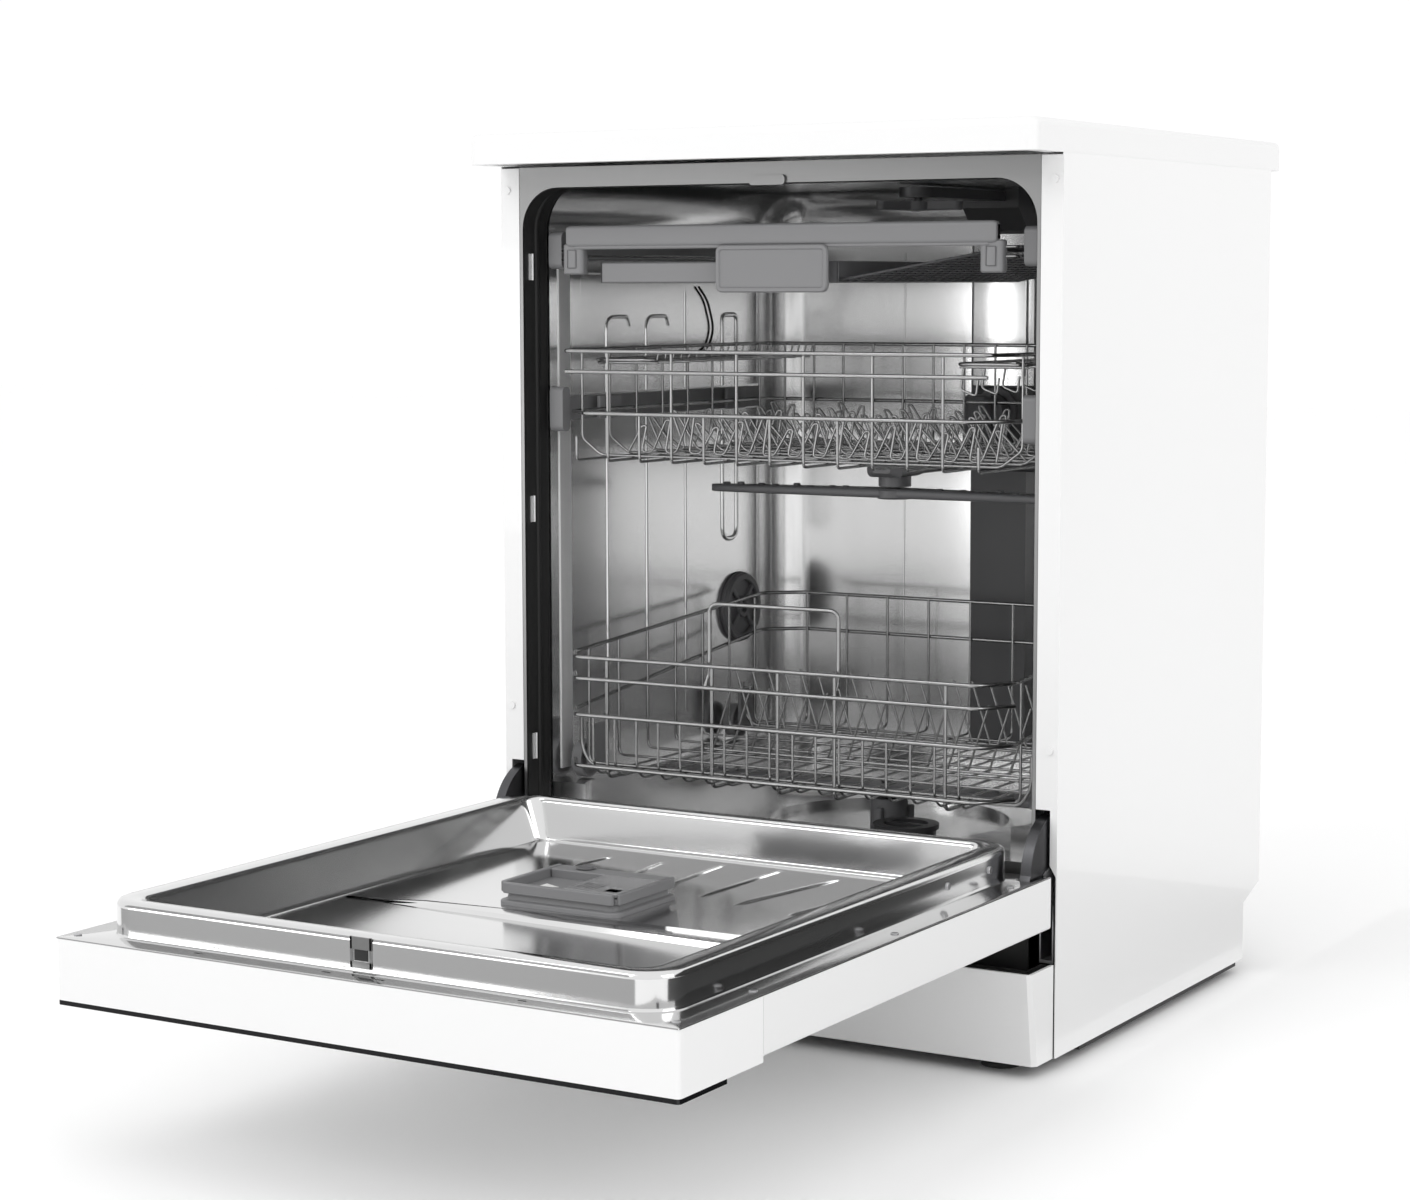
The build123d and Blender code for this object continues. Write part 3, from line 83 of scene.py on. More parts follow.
# %% A helper for finishes
def finish(name, colour, rough, metal=0.0, grain=400.0, stretch=(1, 1, 1), bump=0.1, spread=0.06, **sockets):
    """A Principled material with stretched noise on its roughness and its bump."""
    made = bpy.data.materials.new(name)
    made.use_nodes = True
    tree = made.node_tree
    shader = tree.nodes["Principled BSDF"]
    shader.inputs["Base Color"].default_value = (*colour, 1)
    shader.inputs["Metallic"].default_value = metal
    for socket, value in sockets.items():
        shader.inputs[socket.replace("_", " ")].default_value = value
    place = tree.nodes.new("ShaderNodeTexCoord")
    scale = tree.nodes.new("ShaderNodeMapping")
    scale.inputs["Scale"].default_value = stretch
    noise = tree.nodes.new("ShaderNodeTexNoise")
    noise.inputs["Scale"].default_value = grain
    noise.inputs["Detail"].default_value = 4
    spread_node = tree.nodes.new("ShaderNodeMapRange")
    spread_node.inputs["To Min"].default_value = rough - spread
    spread_node.inputs["To Max"].default_value = rough + spread
    relief = tree.nodes.new("ShaderNodeBump")
    relief.inputs["Strength"].default_value = bump
    relief.inputs["Distance"].default_value = 0.0003
    link = tree.links.new
    link(place.outputs["Object"], scale.inputs["Vector"])
    link(scale.outputs["Vector"], noise.inputs["Vector"])
    link(noise.outputs["Fac"], spread_node.inputs["Value"])
    link(spread_node.outputs["Result"], shader.inputs["Roughness"])
    link(noise.outputs["Fac"], relief.inputs["Height"])
    link(relief.outputs["Normal"], shader.inputs["Normal"])
    return made


# %% Painted, plastic and rubber finishes
WHITE = (0.80, 0.80, 0.80)
white_enamel = finish("white enamel", WHITE, 0.32, grain=160, bump=0.04, spread=0.03, Coat_Weight=0.3)
white_laminate = finish("white laminate", WHITE, 0.38, grain=900, bump=0.05, spread=0.04)
white_moulding = finish("white moulding", (0.78, 0.78, 0.77), 0.45, grain=700, bump=0.08)
grey_moulding = finish("grey moulding", (0.20, 0.20, 0.205), 0.42, grain=900, bump=0.08)
mid_moulding = finish("mid grey moulding", (0.13, 0.13, 0.135), 0.40, grain=900, bump=0.08)
duct_moulding = finish("duct moulding", (0.075, 0.075, 0.078), 0.40, grain=900, bump=0.08)
dark_moulding = finish("dark moulding", (0.035, 0.035, 0.037), 0.40, grain=900, bump=0.10)
black_moulding = finish("black moulding", (0.010, 0.010, 0.010), 0.5, grain=700, bump=0.12)
black_rubber = finish("black rubber", (0.012, 0.012, 0.012), 0.6, grain=500, bump=0.15)
black_gloss = finish("black glass panel", (0.004, 0.004, 0.005), 0.06, grain=60, bump=0.01, spread=0.01)
SMOKE = (0.24, 0.24, 0.245)
smoked_lid = finish("smoked lid", SMOKE, 0.22, grain=500, bump=0.04, spread=0.03, Coat_Weight=0.4)
print("plastic and paint finishes ready")

# %% Metal finishes
LENGTHWISE = (1, 0.03, 1)
UPRIGHT = (1, 1, 0.03)
tub_steel = finish("tub steel", (0.82, 0.82, 0.82), 0.20, 1.0, 1500, UPRIGHT, 0.02, 0.02)
liner_steel = finish("door liner steel", (0.74, 0.74, 0.74), 0.13, 1.0, 1500, LENGTHWISE, 0.01, 0.015)
frame_steel = finish("front frame steel", (0.27, 0.27, 0.27), 0.34, 1.0, 1500, UPRIGHT, 0.03, 0.03)
# Painted highlight: this near-white rough steel stands for the light caught by the reveal slots, the folds of
# the tub's side walls and the latch tongues.
highlight_steel = finish("painted highlight steel", (0.95, 0.95, 0.95), 0.62, 1.0, 900, UPRIGHT, 0.03, 0.03)
zinc_plate = finish("zinc plate", (0.50, 0.50, 0.51), 0.38, 1.0, 90, (1, 1, 1), 0.05, 0.08)
dark_plate = finish("dark plated steel", (0.10, 0.10, 0.105), 0.36, 1.0, 300, (1, 1, 1), 0.08, 0.06)
bright_wire = finish("bright wire", (0.36, 0.36, 0.36), 0.22, 1.0, 500, (1, 1, 1), 0.04, 0.05)
cast_weight = finish("cast weight", (0.20, 0.20, 0.20), 0.8, 0.0, 220, (1, 1, 1), 0.6, 0.1)
pressed_felt = finish("pressed felt", (0.05, 0.05, 0.05), 0.9, 0.0, 1200, (1, 1, 1), 0.8, 0.05)
print("metal finishes ready")

# %% [markdown]
# ## Giving the solid parts their finishes
# Most solid parts have the right shape already, so they only need a material in their slot. A part that is
# rebuilt further down is hidden then, but it gets its finish here as well.

# %% Finishes on the solid parts
WEAR = {
    white_laminate: ["worktop", "control_console"],
    white_enamel: ["side_panel_left", "side_panel_right", "plinth", "door_outer_panel", "cabinet_screws"],
    zinc_plate: ["rear_panel", "hinge_brackets", "hinge_springs"],
    black_moulding: ["base_tray", "rear_feet", "front_foot_left", "front_foot_right", "cable_gland"],
    frame_steel: ["front_frame", "latch_strike"],
    tub_steel: ["tub_wrap", "tub_back", "tub_floor", "rail_channels", "filter_plate"],
    liner_steel: ["door_liner"],
    black_rubber: ["door_gasket"],
    grey_moulding: ["dispenser_body", "tray_front", "tray_rails", "upper_rails", "salt_cap"],
    mid_moulding: ["vent_cap", "upper_spray_arm", "lower_spray_arm", "ceiling_sprayer", "rinse_aid_cap"],
    duct_moulding: ["feed_duct"],
    dark_moulding: ["sump", "circulation_pump", "drain_pump", "microfilter", "cutlery_tray"],
    white_moulding: ["salt_container", "inlet_valve", "water_break_box", "drain_spigot"],
    black_gloss: ["console_glass", "power_button", "start_button"],
    smoked_lid: ["dispenser_lid"],
    bright_wire: ["lower_basket", "upper_basket", "cup_shelf_left", "cup_shelf_right"],
    dark_plate: ["hinge_arms"],
    cast_weight: ["counterweight"],
    pressed_felt: ["door_insulation"],
}
WEAR[black_moulding].append("latch_hook")
WEAR[bright_wire] += ["front_tines", "rear_tines"]
WEAR[grey_moulding] += ["front_wheels", "rear_wheels"]
for material, names in WEAR.items():
    for name in names:
        part = nodes[name]
        part.data.materials.clear()
        part.data.materials.append(material)
missing = set(nodes) - {name for names in WEAR.values() for name in names}
print("parts without a finish:", sorted(missing) or "none")

# %% [markdown]
# ## Helpers for meshes and wires
# Three helpers make nearly everything that follows. One turns points and faces into a piece. One lofts
# through rings of points, which suits pressed steel and mouldings. One bends a round wire through corner
# points, which suits baskets: a real basket wire is bent over a former, so each corner becomes an arc.


def dress(piece, material, body, stands_for=()):
    """Give a piece its finish and its body, and hide the solid parts it stands for."""
    piece.data.materials.append(material)
    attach(piece, body)
    if stands_for:
        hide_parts(*stands_for)
    return piece


def piece_from(name, points, faces, material, body, stands_for=(), smooth=30):
    """A mesh piece whose edges sharper than the given angle stay crisp."""
    mesh = bpy.data.meshes.new(name)
    mesh.from_pydata([tuple(p) for p in points], [], faces)
    tool = bmesh.new()
    tool.from_mesh(mesh)
    bmesh.ops.remove_doubles(tool, verts=tool.verts, dist=1e-6)
    bmesh.ops.recalc_face_normals(tool, faces=tool.faces)
    for edge in tool.edges:
        edge.smooth = edge.calc_face_angle(math.pi) < math.radians(smooth)
    for face in tool.faces:
        face.smooth = True
    tool.to_mesh(mesh)
    tool.free()
    piece = bpy.data.objects.new(name, mesh)
    bpy.context.scene.collection.objects.link(piece)
    return dress(piece, material, body, stands_for)


# %% Rings and lofts
def rounded_ring(low, high, radius, height, steps=8):
    """Points round a rectangle with rounded corners, level at a height. low and high are (x, y) corners."""
    ring = []
    centres = [
        (high[0] - radius, low[1] + radius, -90),
        (high[0] - radius, high[1] - radius, 0),
        (low[0] + radius, high[1] - radius, 90),
        (low[0] + radius, low[1] + radius, 180),
    ]
    for x, y, start in centres:
        for step in range(steps + 1):
            angle = math.radians(start + 90 * step / steps)
            ring.append(Vector((x + radius * math.cos(angle), y + radius * math.sin(angle), height)))
    return ring


def loft(rings, closed=True, cap_first=False, cap_last=False):
    """Points and faces of a skin through rings with equal numbers of points."""
    count = len(rings[0])
    points = [point for ring in rings for point in ring]
    faces = []
    last = count if closed else count - 1
    for level in range(len(rings) - 1):
        for step in range(last):
            after = (step + 1) % count
            a, b = level * count, (level + 1) * count
            faces.append((a + step, a + after, b + after, b + step))
    if cap_first:
        faces.append(tuple(range(count)))
    if cap_last:
        faces.append(tuple(range((len(rings) - 1) * count, len(rings) * count)))
    return points, faces


def join(*parts):
    """Several lists of points and faces as one."""
    points, faces = [], []
    for more_points, more_faces in parts:
        shift = len(points)
        points += list(more_points)
        faces += [tuple(index + shift for index in face) for face in more_faces]
    return points, faces


def soft_block(low, high, edge=0.001, corner=0.003):
    """Points and faces of a block with rounded upright corners and softened top and bottom edges."""
    rings = []
    for inset, height in ((edge, low[2]), (0, low[2] + edge), (0, high[2] - edge), (edge, high[2])):
        a = (low[0] + inset, low[1] + inset)
        b = (high[0] - inset, high[1] - inset)
        rings.append(rounded_ring(a, b, max(corner - inset, 1e-4), height, 4))
    return loft(rings, cap_first=True, cap_last=True)


def side_block(side, x, y, z, edge=0.001, corner=0.003):
    """A soft block on one side of the machine, from its limits along each axis."""
    a, b = sorted((side * x[0], side * x[1]))
    return soft_block((a, y[0], z[0]), (b, y[1], z[1]), edge, corner)


def circle(centre, radius, along, axis, steps):
    """Points round a circle that is square to an axis."""
    ring = []
    for step in range(steps):
        angle = 2 * math.pi * step / steps
        u, v = centre[0] + radius * math.cos(angle), centre[1] + radius * math.sin(angle)
        ring.append(Vector({"Z": (u, v, along), "Y": (u, along, v), "X": (along, u, v)}[axis]))
    return ring


def round_rod(centre, radius, low, high, axis="Z", steps=20, edge=0.0005):
    """Points and faces of a turned rod with softened ends, along one axis."""
    profile = ((radius - edge, low), (radius, low + edge), (radius, high - edge), (radius - edge, high))
    rings = [circle(centre, r, along, axis, steps) for r, along in profile]
    return loft(rings, cap_first=True, cap_last=True)


print("mesh helpers ready")

# %% Bent wires
def bend(corners, radius, steps=5):
    """Corner points with each inner corner rounded to an arc."""
    path = [Vector(corners[0])]
    for before, corner, after in zip(corners, corners[1:], corners[2:]):
        corner = Vector(corner)
        arrive = Vector(before) - corner
        leave = Vector(after) - corner
        reach = min(radius, arrive.length * 0.45, leave.length * 0.45)
        start = corner + arrive.normalized() * reach
        end = corner + leave.normalized() * reach
        for step in range(steps + 1):
            t = step / steps
            path.append(start * (1 - t) ** 2 + corner * 2 * t * (1 - t) + end * t**2)
    path.append(Vector(corners[-1]))
    return path


def wire_piece(name, runs, material, body, stands_for=(), bend_radius=0.010):
    """Bent wires as one curve piece. Each run is (corner points, wire radius, closed)."""
    curve = bpy.data.curves.new(name, "CURVE")
    curve.dimensions = "3D"
    curve.bevel_resolution = 3
    curve.use_fill_caps = True
    thick = max(radius for _, radius, _ in runs)
    curve.bevel_depth = thick
    for corners, radius, closed in runs:
        if closed:
            middle = (Vector(corners[0]) + Vector(corners[-1])) / 2
            corners = [middle, *corners, middle]
        path = bend(corners, bend_radius)
        if closed:
            path.pop()
        spline = curve.splines.new("POLY")
        spline.points.add(len(path) - 1)
        for point, place in zip(spline.points, path):
            point.co = (*place, 1)
            point.radius = radius / thick
        spline.use_cyclic_u = closed
    piece = bpy.data.objects.new(name, curve)
    bpy.context.scene.collection.objects.link(piece)
    return dress(piece, material, body, stands_for)


print("wire helper ready")

# %% [markdown]
# ## The lower basket
# A plate basket is a cage: level rims outside, hoops that run down one wall, along the floor and up the
# other wall, and a raised handle in front. Curves with a round bevel are the right tool, because a hoop is
# only its corner points and a bend radius. The hoops sit just inside the rims, where they are welded.

# %% Lower basket rims and hoops
WIRE = 0.0020
THIN = 0.0014
low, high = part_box("lower_basket")
front = low.y + WIRE
rear = high.y - WIRE
HALF = 0.240
NOSE = 0.216
CHAMFER = front + 0.035
FLOOR = low.z + 0.006
FRONT_LEVELS = (0.345, 0.324, 0.288)
REAR_RIM = 0.370
WELD = WIRE + THIN

runs = []
for level, rear_level in zip(FRONT_LEVELS, (REAR_RIM, None, 0.330)):
    nose = [(-HALF, CHAMFER, level), (-NOSE, front, level), (NOSE, front, level), (HALF, CHAMFER, level)]
    if rear_level is None:
        runs.append((nose, WIRE, False))
        continue
    back = [(HALF, rear - 0.030, rear_level), (0.205, rear, rear_level)]
    back += [(-0.205, rear, rear_level), (-HALF, rear - 0.030, rear_level)]
    runs.append((nose + back, WIRE, True))
for count in range(7):
    y = CHAMFER + 0.020 + 0.055 * count
    top = FRONT_LEVELS[0] + 0.025 * (y - CHAMFER) / (rear - CHAMFER)
    side = HALF - WELD
    runs.append(([(-side, y, top), (-side, y, FLOOR), (side, y, FLOOR), (side, y, top)], THIN, False))
UNDER = FLOOR - 2 * THIN
bottom_rim = [(-HALF, CHAMFER, FLOOR + 0.006), (-NOSE, front, FLOOR + 0.006), (NOSE, front, FLOOR + 0.006)]
runs.append((bottom_rim + [(HALF, CHAMFER, FLOOR + 0.006)], WIRE, False))
wire_piece("lower_basket_rims", runs, bright_wire, "lower_basket", ["lower_basket"], 0.008)
runs = []
HOOK_XS = (-0.182, -0.063, 0.009, 0.070, 0.185)
HOOK_RADIUS, FINE = 0.0018, 0.0012
inner_front, inner_rear = front + WELD, rear - WELD
for x in HOOK_XS:
    hook = [(x, inner_front, FRONT_LEVELS[0]), (x, inner_front, low.z + 0.0020)]
    hook += [(x, front + 0.045, low.z + 0.0020), (x, front + 0.055, UNDER)]
    runs.append((hook, HOOK_RADIUS, False))
for count in range(17):
    x = -0.198 + 0.0248 * count
    if count % 2 == 0:
        riser = [(x, rear - 0.060, UNDER), (x, inner_rear, UNDER), (x, inner_rear, REAR_RIM)]
        runs.append((riser, THIN, False))
    short = [(x, inner_front, FRONT_LEVELS[2]), (x, inner_front, UNDER + 0.012), (x, front + 0.014, UNDER)]
    runs.append((short + [(x, rear - 0.058, UNDER)], FINE, False))
print(len(runs), "wires in the cage")

# %% Lower basket handle, skid wire and feet
HANDLE_HALF = 0.070
handle_y = front + 0.011
handle_top = high.z - WIRE
leg = [(handle_y - 0.009, FRONT_LEVELS[1]), (handle_y, 0.338), (handle_y, handle_top)]
handle = [(-HANDLE_HALF, y, z) for y, z in leg] + [(HANDLE_HALF, y, z) for y, z in reversed(leg)]
runs.append((handle, WIRE, False))
for y in (CHAMFER + 0.022, rear - 0.060):
    up = [(0.247, 0.275), (0.247, 0.246), (0.236, 0.2285)]
    skid = [(-x, y, z) for x, z in up] + [(x, y, z) for x, z in reversed(up)]
    runs.append((skid, WIRE, False))
wire_piece("lower_basket_wires", runs, bright_wire, "lower_basket", (), 0.010)

axle_low, axle_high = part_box("front_wheels")
axle_z = (axle_low.z + axle_high.z) / 2
wheel_rows = [sum(v.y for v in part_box(n)) / 2 for n in ("front_wheels", "rear_wheels")]
clips = []
for y in wheel_rows:
    for side in (-1, 1):
        along = (y - 0.016, y + 0.016)
        clips.append(side_block(side, (0.2415, 0.2460), along, (0.2245, 0.268), 0.001, 0.002))
        a, b = sorted((side * 0.2450, side * 0.2629))
        clips.append(round_rod((y, axle_z), 0.0038, a, b, "X"))
piece_from("lower_basket_wheel_clips", *join(*clips), grey_moulding, "lower_basket")
print("lower basket done")

# %% [markdown]
# ## Wheels
# Each wheel is a thin moulded disc: a rolling rim, a sunken web with spokes and a hub. Rings lofted along the
# axle give the turned profile, and the spokes are short blocks laid on the web.

# %% Basket wheels
AXLE = 0.0042


def wheel_profile(side, y, z, inner_x, width, radius):
    """A turned wheel with a sunken web and five spokes, on an axle along X."""
    profile = [(AXLE, 0.0), (0.008, 0.0), (0.008, 0.0030), (0.0145, 0.0036), (0.0160, 0.0008)]
    profile += [(radius - 0.0008, 0.0), (radius, 0.0010), (radius, width - 0.0010), (radius - 0.0008, width)]
    profile += [(0.0160, width - 0.0008), (0.0145, width - 0.0036), (0.008, width - 0.0030), (0.008, width)]
    profile += [(AXLE, width), (AXLE, 0.0)]
    parts = [loft([circle((y, z), r, side * (inner_x + along), "X", 36) for r, along in profile])]
    for spoke in range(5):
        around = Matrix.Rotation(2 * math.pi * spoke / 5, 4, "X")
        across = (inner_x + 0.0012, inner_x + width - 0.0012)
        points, faces = side_block(side, across, (-0.0016, 0.0016), (0.007, 0.0155), 0.0004, 0.0004)
        parts.append(([around @ p + Vector((0, y, z)) for p in points], faces))
    return join(*parts)


for node in ("front_wheels", "rear_wheels"):
    low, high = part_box(node)
    y, z = (low.y + high.y) / 2, (low.z + high.z) / 2
    radius = (high.z - low.z) / 2
    both = [wheel_profile(side, y, z, 0.2505, 0.012, radius) for side in (-1, 1)]
    piece_from(node + "_moulded", *join(*both), grey_moulding, node, [node])
print("wheels done")

# %% [markdown]
# ## Plate tines
# A row of tines is one long base wire with prongs welded to it. The prongs lean a little so that plates stand
# askew and drain. Each prong has a short foot bent along the base wire, as on a real basket.

# %% Tine rows
PRONG = 0.0011


def tine_row(node, lean):
    """Replace a row of plain prongs with bent ones over the same span."""
    low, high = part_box(node)
    base_z = low.z + 0.0045
    y = low.y + THIN
    reach = 0.072
    slant = math.sin(math.radians(18)) * reach
    first = low.x + 0.008 + (0.0 if lean > 0 else 0.006)
    last = high.x - (slant if lean > 0 else 0.008)
    if lean < 0:
        first = low.x + slant
    pitch = 0.022 if lean > 0 else 0.020
    count = int((last - first) / pitch) + 1
    made = [([(low.x, y, base_z), (high.x, y, base_z)], THIN, False)]
    for step in range(count):
        x = first + pitch * step
        foot = (x - lean * 0.006, y + 2 * THIN, base_z)
        knee = (x, y + 2 * THIN, base_z)
        tip = (x + lean * slant * 0.98, y + 2 * THIN, high.z - THIN)
        made.append(([foot, knee, tip], PRONG, False))
    return wire_piece(node + "_bent", made, bright_wire, node, [node], 0.006)


tine_row("front_tines", 1)
tine_row("rear_tines", -1)
print("tines done")

# %% [markdown]
# ## The upper basket
# The upper basket is shallower, with low leaning prongs across its floor for glasses and a water pipe slung
# underneath that feeds its spray arm. The pipe is a flattened moulding, so it is lofted. The rest is wire.

# %% Upper basket wires
low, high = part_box("upper_basket")
UP_FRONT = low.y + WIRE
UP_REAR = 0.470
UP_HALF = 0.242
UP_NOSE = 0.226
UP_CHAMFER = UP_FRONT + 0.036
UP_RIM = high.z - WIRE
UP_FLOOR = 0.540
runs = []
for level, nose in ((UP_RIM, UP_NOSE), (UP_RIM - 0.060, 0.204)):
    around = [(-UP_HALF, UP_CHAMFER), (-nose, UP_FRONT), (nose, UP_FRONT), (UP_HALF, UP_CHAMFER)]
    ring = [(x, y, level) for x, y in around + [(UP_HALF, UP_REAR), (-UP_HALF, UP_REAR)]]
    runs.append((ring, WIRE, True))
second = UP_RIM - 0.020
runs.append(([(-UP_NOSE, UP_FRONT, second), (UP_NOSE, UP_FRONT, second)], WIRE, False))
for count in range(8):
    y = UP_CHAMFER + 0.012 + 0.050 * count
    side = UP_HALF - WELD
    hoop = [(-side, y, UP_RIM), (-side, y, UP_FLOOR + 0.016), (-side + 0.022, y, UP_FLOOR)]
    hoop += [(side - 0.022, y, UP_FLOOR), (side, y, UP_FLOOR + 0.016), (side, y, UP_RIM)]
    runs.append((hoop, THIN, False))
for count in range(13):
    x = -0.216 + 0.036 * count
    under = UP_FLOOR - 2 * THIN
    top = UP_RIM if count in (1, 3, 5, 7, 9, 11) else UP_RIM - 0.060
    if abs(x) > 0.205:
        top = UP_FLOOR + 0.02
    a, b = UP_FRONT + WELD, UP_REAR - WELD
    runs.append(([(x, a, top), (x, a, under), (x, b, under), (x, b, UP_RIM)], THIN, False))
for row, y in enumerate((0.118, 0.180, 0.242, 0.304, 0.366, 0.428)):
    lean = 1 if row % 2 == 0 else -1
    base = UP_FLOOR + 2 * THIN
    prongs = []
    for step in range(15):
        x = -0.196 + 0.0275 * step
        rise = 0.026 + 0.006 * ((step + row) % 3)
        tip = x + lean * 0.016
        prongs += [(x, y, base), (tip, y, base + rise), (tip + 0.005, y, base + rise), (x + 0.0150, y, base)]
    runs.append((prongs, FINE, False))
wire_piece("upper_basket_wires", runs, bright_wire, "upper_basket", ["upper_basket"], 0.0055)
print(len(runs), "wires in the upper basket")

# %% Upper basket water pipe and slide carriers
def slab_loft(stations, steps=6):
    """A flattened pipe along Y through (y, centre x, low z, high z, half width) stations."""
    rings = []
    for y, x, low_z, high_z, half in stations:
        corner = min(half, (high_z - low_z) / 2) * 0.7
        ring = rounded_ring((x - half, low_z), (x + half, high_z), corner, 0, steps)
        rings.append([Vector((p.x, y, p.y)) for p in ring])
    return loft(rings, cap_first=True, cap_last=True)


PIPE_X = 0.005
pipe = slab_loft(
    [
        (0.270, PIPE_X, 0.519, 0.526, 0.010),
        (0.278, PIPE_X, 0.5145, 0.5305, 0.020),
        (0.320, PIPE_X, 0.5145, 0.5305, 0.020),
        (0.345, PIPE_X, 0.515, 0.5305, 0.013),
        (0.498, PIPE_X, 0.515, 0.5305, 0.013),
    ]
)
riser = soft_block((PIPE_X - 0.013, 0.481, 0.516), (PIPE_X + 0.013, 0.4995, 0.590), 0.002, 0.006)
mouth = round_rod((0.012, 0.573), 0.0168, 0.499, 0.5155, "Y", 28)
collar = round_rod((0.005, 0.300), 0.0165, 0.5045, 0.5152, "Z", 28)
spindle = round_rod((0.005, 0.300), 0.0058, 0.4935, 0.516, "Z", 20)
pipe_parts = join(pipe, riser, mouth, collar, spindle)
piece_from("upper_basket_water_pipe", *pipe_parts, mid_moulding, "upper_basket")
carriers = []
for side in (-1, 1):
    for y in (0.140, 0.390):
        carriers.append(side_block(side, (0.2438, 0.2474), (y, y + 0.040), (0.574, 0.596), 0.0006, 0.001))
piece_from("upper_basket_carriers", *join(*carriers), grey_moulding, "upper_basket")

# %% Cup shelves
for node, side in (("cup_shelf_left", -1), ("cup_shelf_right", 1)):
    low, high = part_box(node)
    z = high.z - THIN
    outer = side * 0.234
    tip = side * (0.234 - 0.070)
    a, b = low.y + THIN, high.y - THIN
    runs = [([(outer, a, z), (tip, a, z), (tip, b, z), (outer, b, z)], 0.0017, True)]
    for count in range(11):
        y = low.y + 0.012 + count * (high.y - low.y - 0.024) / 10
        runs.append(([(outer, y, z - 2 * THIN), (tip, y, z - 2 * THIN)], THIN, False))
    wire_piece(node + "_wires", runs, bright_wire, node, [node], 0.016)
    small = []
    if side < 0:
        for count in range(22):
            y = low.y + 0.010 + count * (high.y - low.y - 0.020) / 21
            small.append(([(tip, y, z), (tip + 0.003, y, z + 0.011)], 0.0009, False))
    else:
        for count in range(4):
            y = low.y + 0.022 + 0.045 * count
            drop = ((0, 0), (-0.004, -0.024), (0.012, -0.030), (0.014, -0.014))
            small.append(([(tip + u, y, z + v) for u, v in drop], FINE, False))
    wire_piece(node + "_small_wires", small, bright_wire, node, (), 0.004)
print("cup shelves done")

# %% [markdown]
# ## Spray arms
# A spray arm is a hollow blade with tapered, rounded ends and a row of jets on top. Lofting slices along the
# arm gives the blade its taper and crown. Each jet is a small raised collar.

# %% Spray arms
def spray_blade(node, x, y, half, root, tip, jets, body):
    """A tapered crowned blade with a boss and raised jets."""
    low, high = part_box(node)
    rings = []
    for share in (-1, -0.985, -0.95, -0.8, -0.5, -0.16, -0.08, 0.08, 0.16, 0.5, 0.8, 0.95, 0.985, 1):
        along = abs(share)
        wide = root + (tip - root) * along
        if along > 0.94:
            wide *= {0.95: 0.86, 0.985: 0.6, 1: 0.25}[along]
        under, over = low.z, high.z - 0.0022
        thick = (over - under) * (1 - 0.25 * along)
        ring = rounded_ring((-wide, 0), (wide, thick), min(wide, thick) * 0.45, 0, 5)
        rings.append([Vector((x + share * half, y + p.x, under + 0.001 + p.y)) for p in ring])
    parts = [loft(rings, cap_first=True, cap_last=True)]
    boss = root * 1.15
    parts.append(round_rod((x, y), boss, low.z, high.z - 0.0015, "Z", 40, 0.002))
    for jet in range(jets):
        for side in (-1, 1):
            along = side * (0.25 + 0.68 * jet / (jets - 1))
            sway = root * 0.35 * (1 if jet % 2 else -1) * (1 - abs(along) * 0.5)
            top = high.z - 0.0002 if jet % 3 == 0 else high.z - 0.0012
            parts.append(round_rod((x + along * half, y + sway), 0.0038, low.z + 0.006, top, "Z", 14, 0.0008))
    return piece_from(node + "_blade", *join(*parts), mid_moulding, body, [node])


spray_blade("upper_spray_arm", 0.005, 0.300, 0.2125, 0.0165, 0.0125, 8, "upper_spray_arm")
spray_blade("lower_spray_arm", 0.0, 0.300, 0.2155, 0.0215, 0.0150, 8, "lower_spray_arm")
low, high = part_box("sump")
hub = [round_rod((0, 0.300), 0.0192, 0.1580, 0.1885, "Z", 36, 0.001)]
for turn_step in range(3):
    angle = math.radians(30 + 120 * turn_step)
    cx, cy = 0.021 * math.cos(angle), 0.300 + 0.021 * math.sin(angle)
    hub.append(soft_block((cx - 0.004, cy - 0.004, 0.160), (cx + 0.004, cy + 0.004, 0.180), 0.001, 0.002))
piece_from("lower_spray_hub", *join(*hub), mid_moulding, "cabinet")
print("spray arms done")

# %% [markdown]
# ## The inside of the door
# The door liner is one sheet of stainless steel, drawn into a tray with a raised rim that meets the gasket.
# It is lofted through level rings, from the outer edge up over the rim and down to the floor of the tray.
# Rings close together make a tight fold, and rings far apart leave a flat wall.

# %% Door liner
low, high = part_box("door_liner")
FLANGE_TOP = 0.180
RIM_TOP = high.z
RIM_NEAR, RIM_FAR, RIM_HALF = -0.572, 0.030, 0.270
TRAY_FLOOR = 0.168


def liner_ring(x_half, near, far, corner, z):
    """One level ring of the door liner."""
    return rounded_ring((-x_half, near), (x_half, far), corner, z, 10)


liner_rings = [
    liner_ring(high.x, low.y, high.y, 0.0012, FLANGE_TOP - 0.0012),
    liner_ring(high.x, low.y, high.y, 0.0012, FLANGE_TOP - 0.0002),
    liner_ring(high.x - 0.0003, low.y + 0.0003, high.y - 0.0003, 0.0010, FLANGE_TOP),
]
for inset, corner, z in (
    (-0.0025, 0.0365, FLANGE_TOP),
    (-0.0008, 0.0348, FLANGE_TOP + 0.0007),
    (0, 0.034, FLANGE_TOP + 0.0025),
    (0, 0.034, FLANGE_TOP + 0.0033),
    (0, 0.034, RIM_TOP - 0.0058),
    (0, 0.034, RIM_TOP - 0.0050),
    (0.0006, 0.0335, RIM_TOP - 0.0028),
    (0.0022, 0.0320, RIM_TOP - 0.0009),
    (0.0048, 0.0300, RIM_TOP),
):
    liner_rings.append(liner_ring(RIM_HALF - inset, RIM_NEAR + inset, RIM_FAR - inset, corner, z))
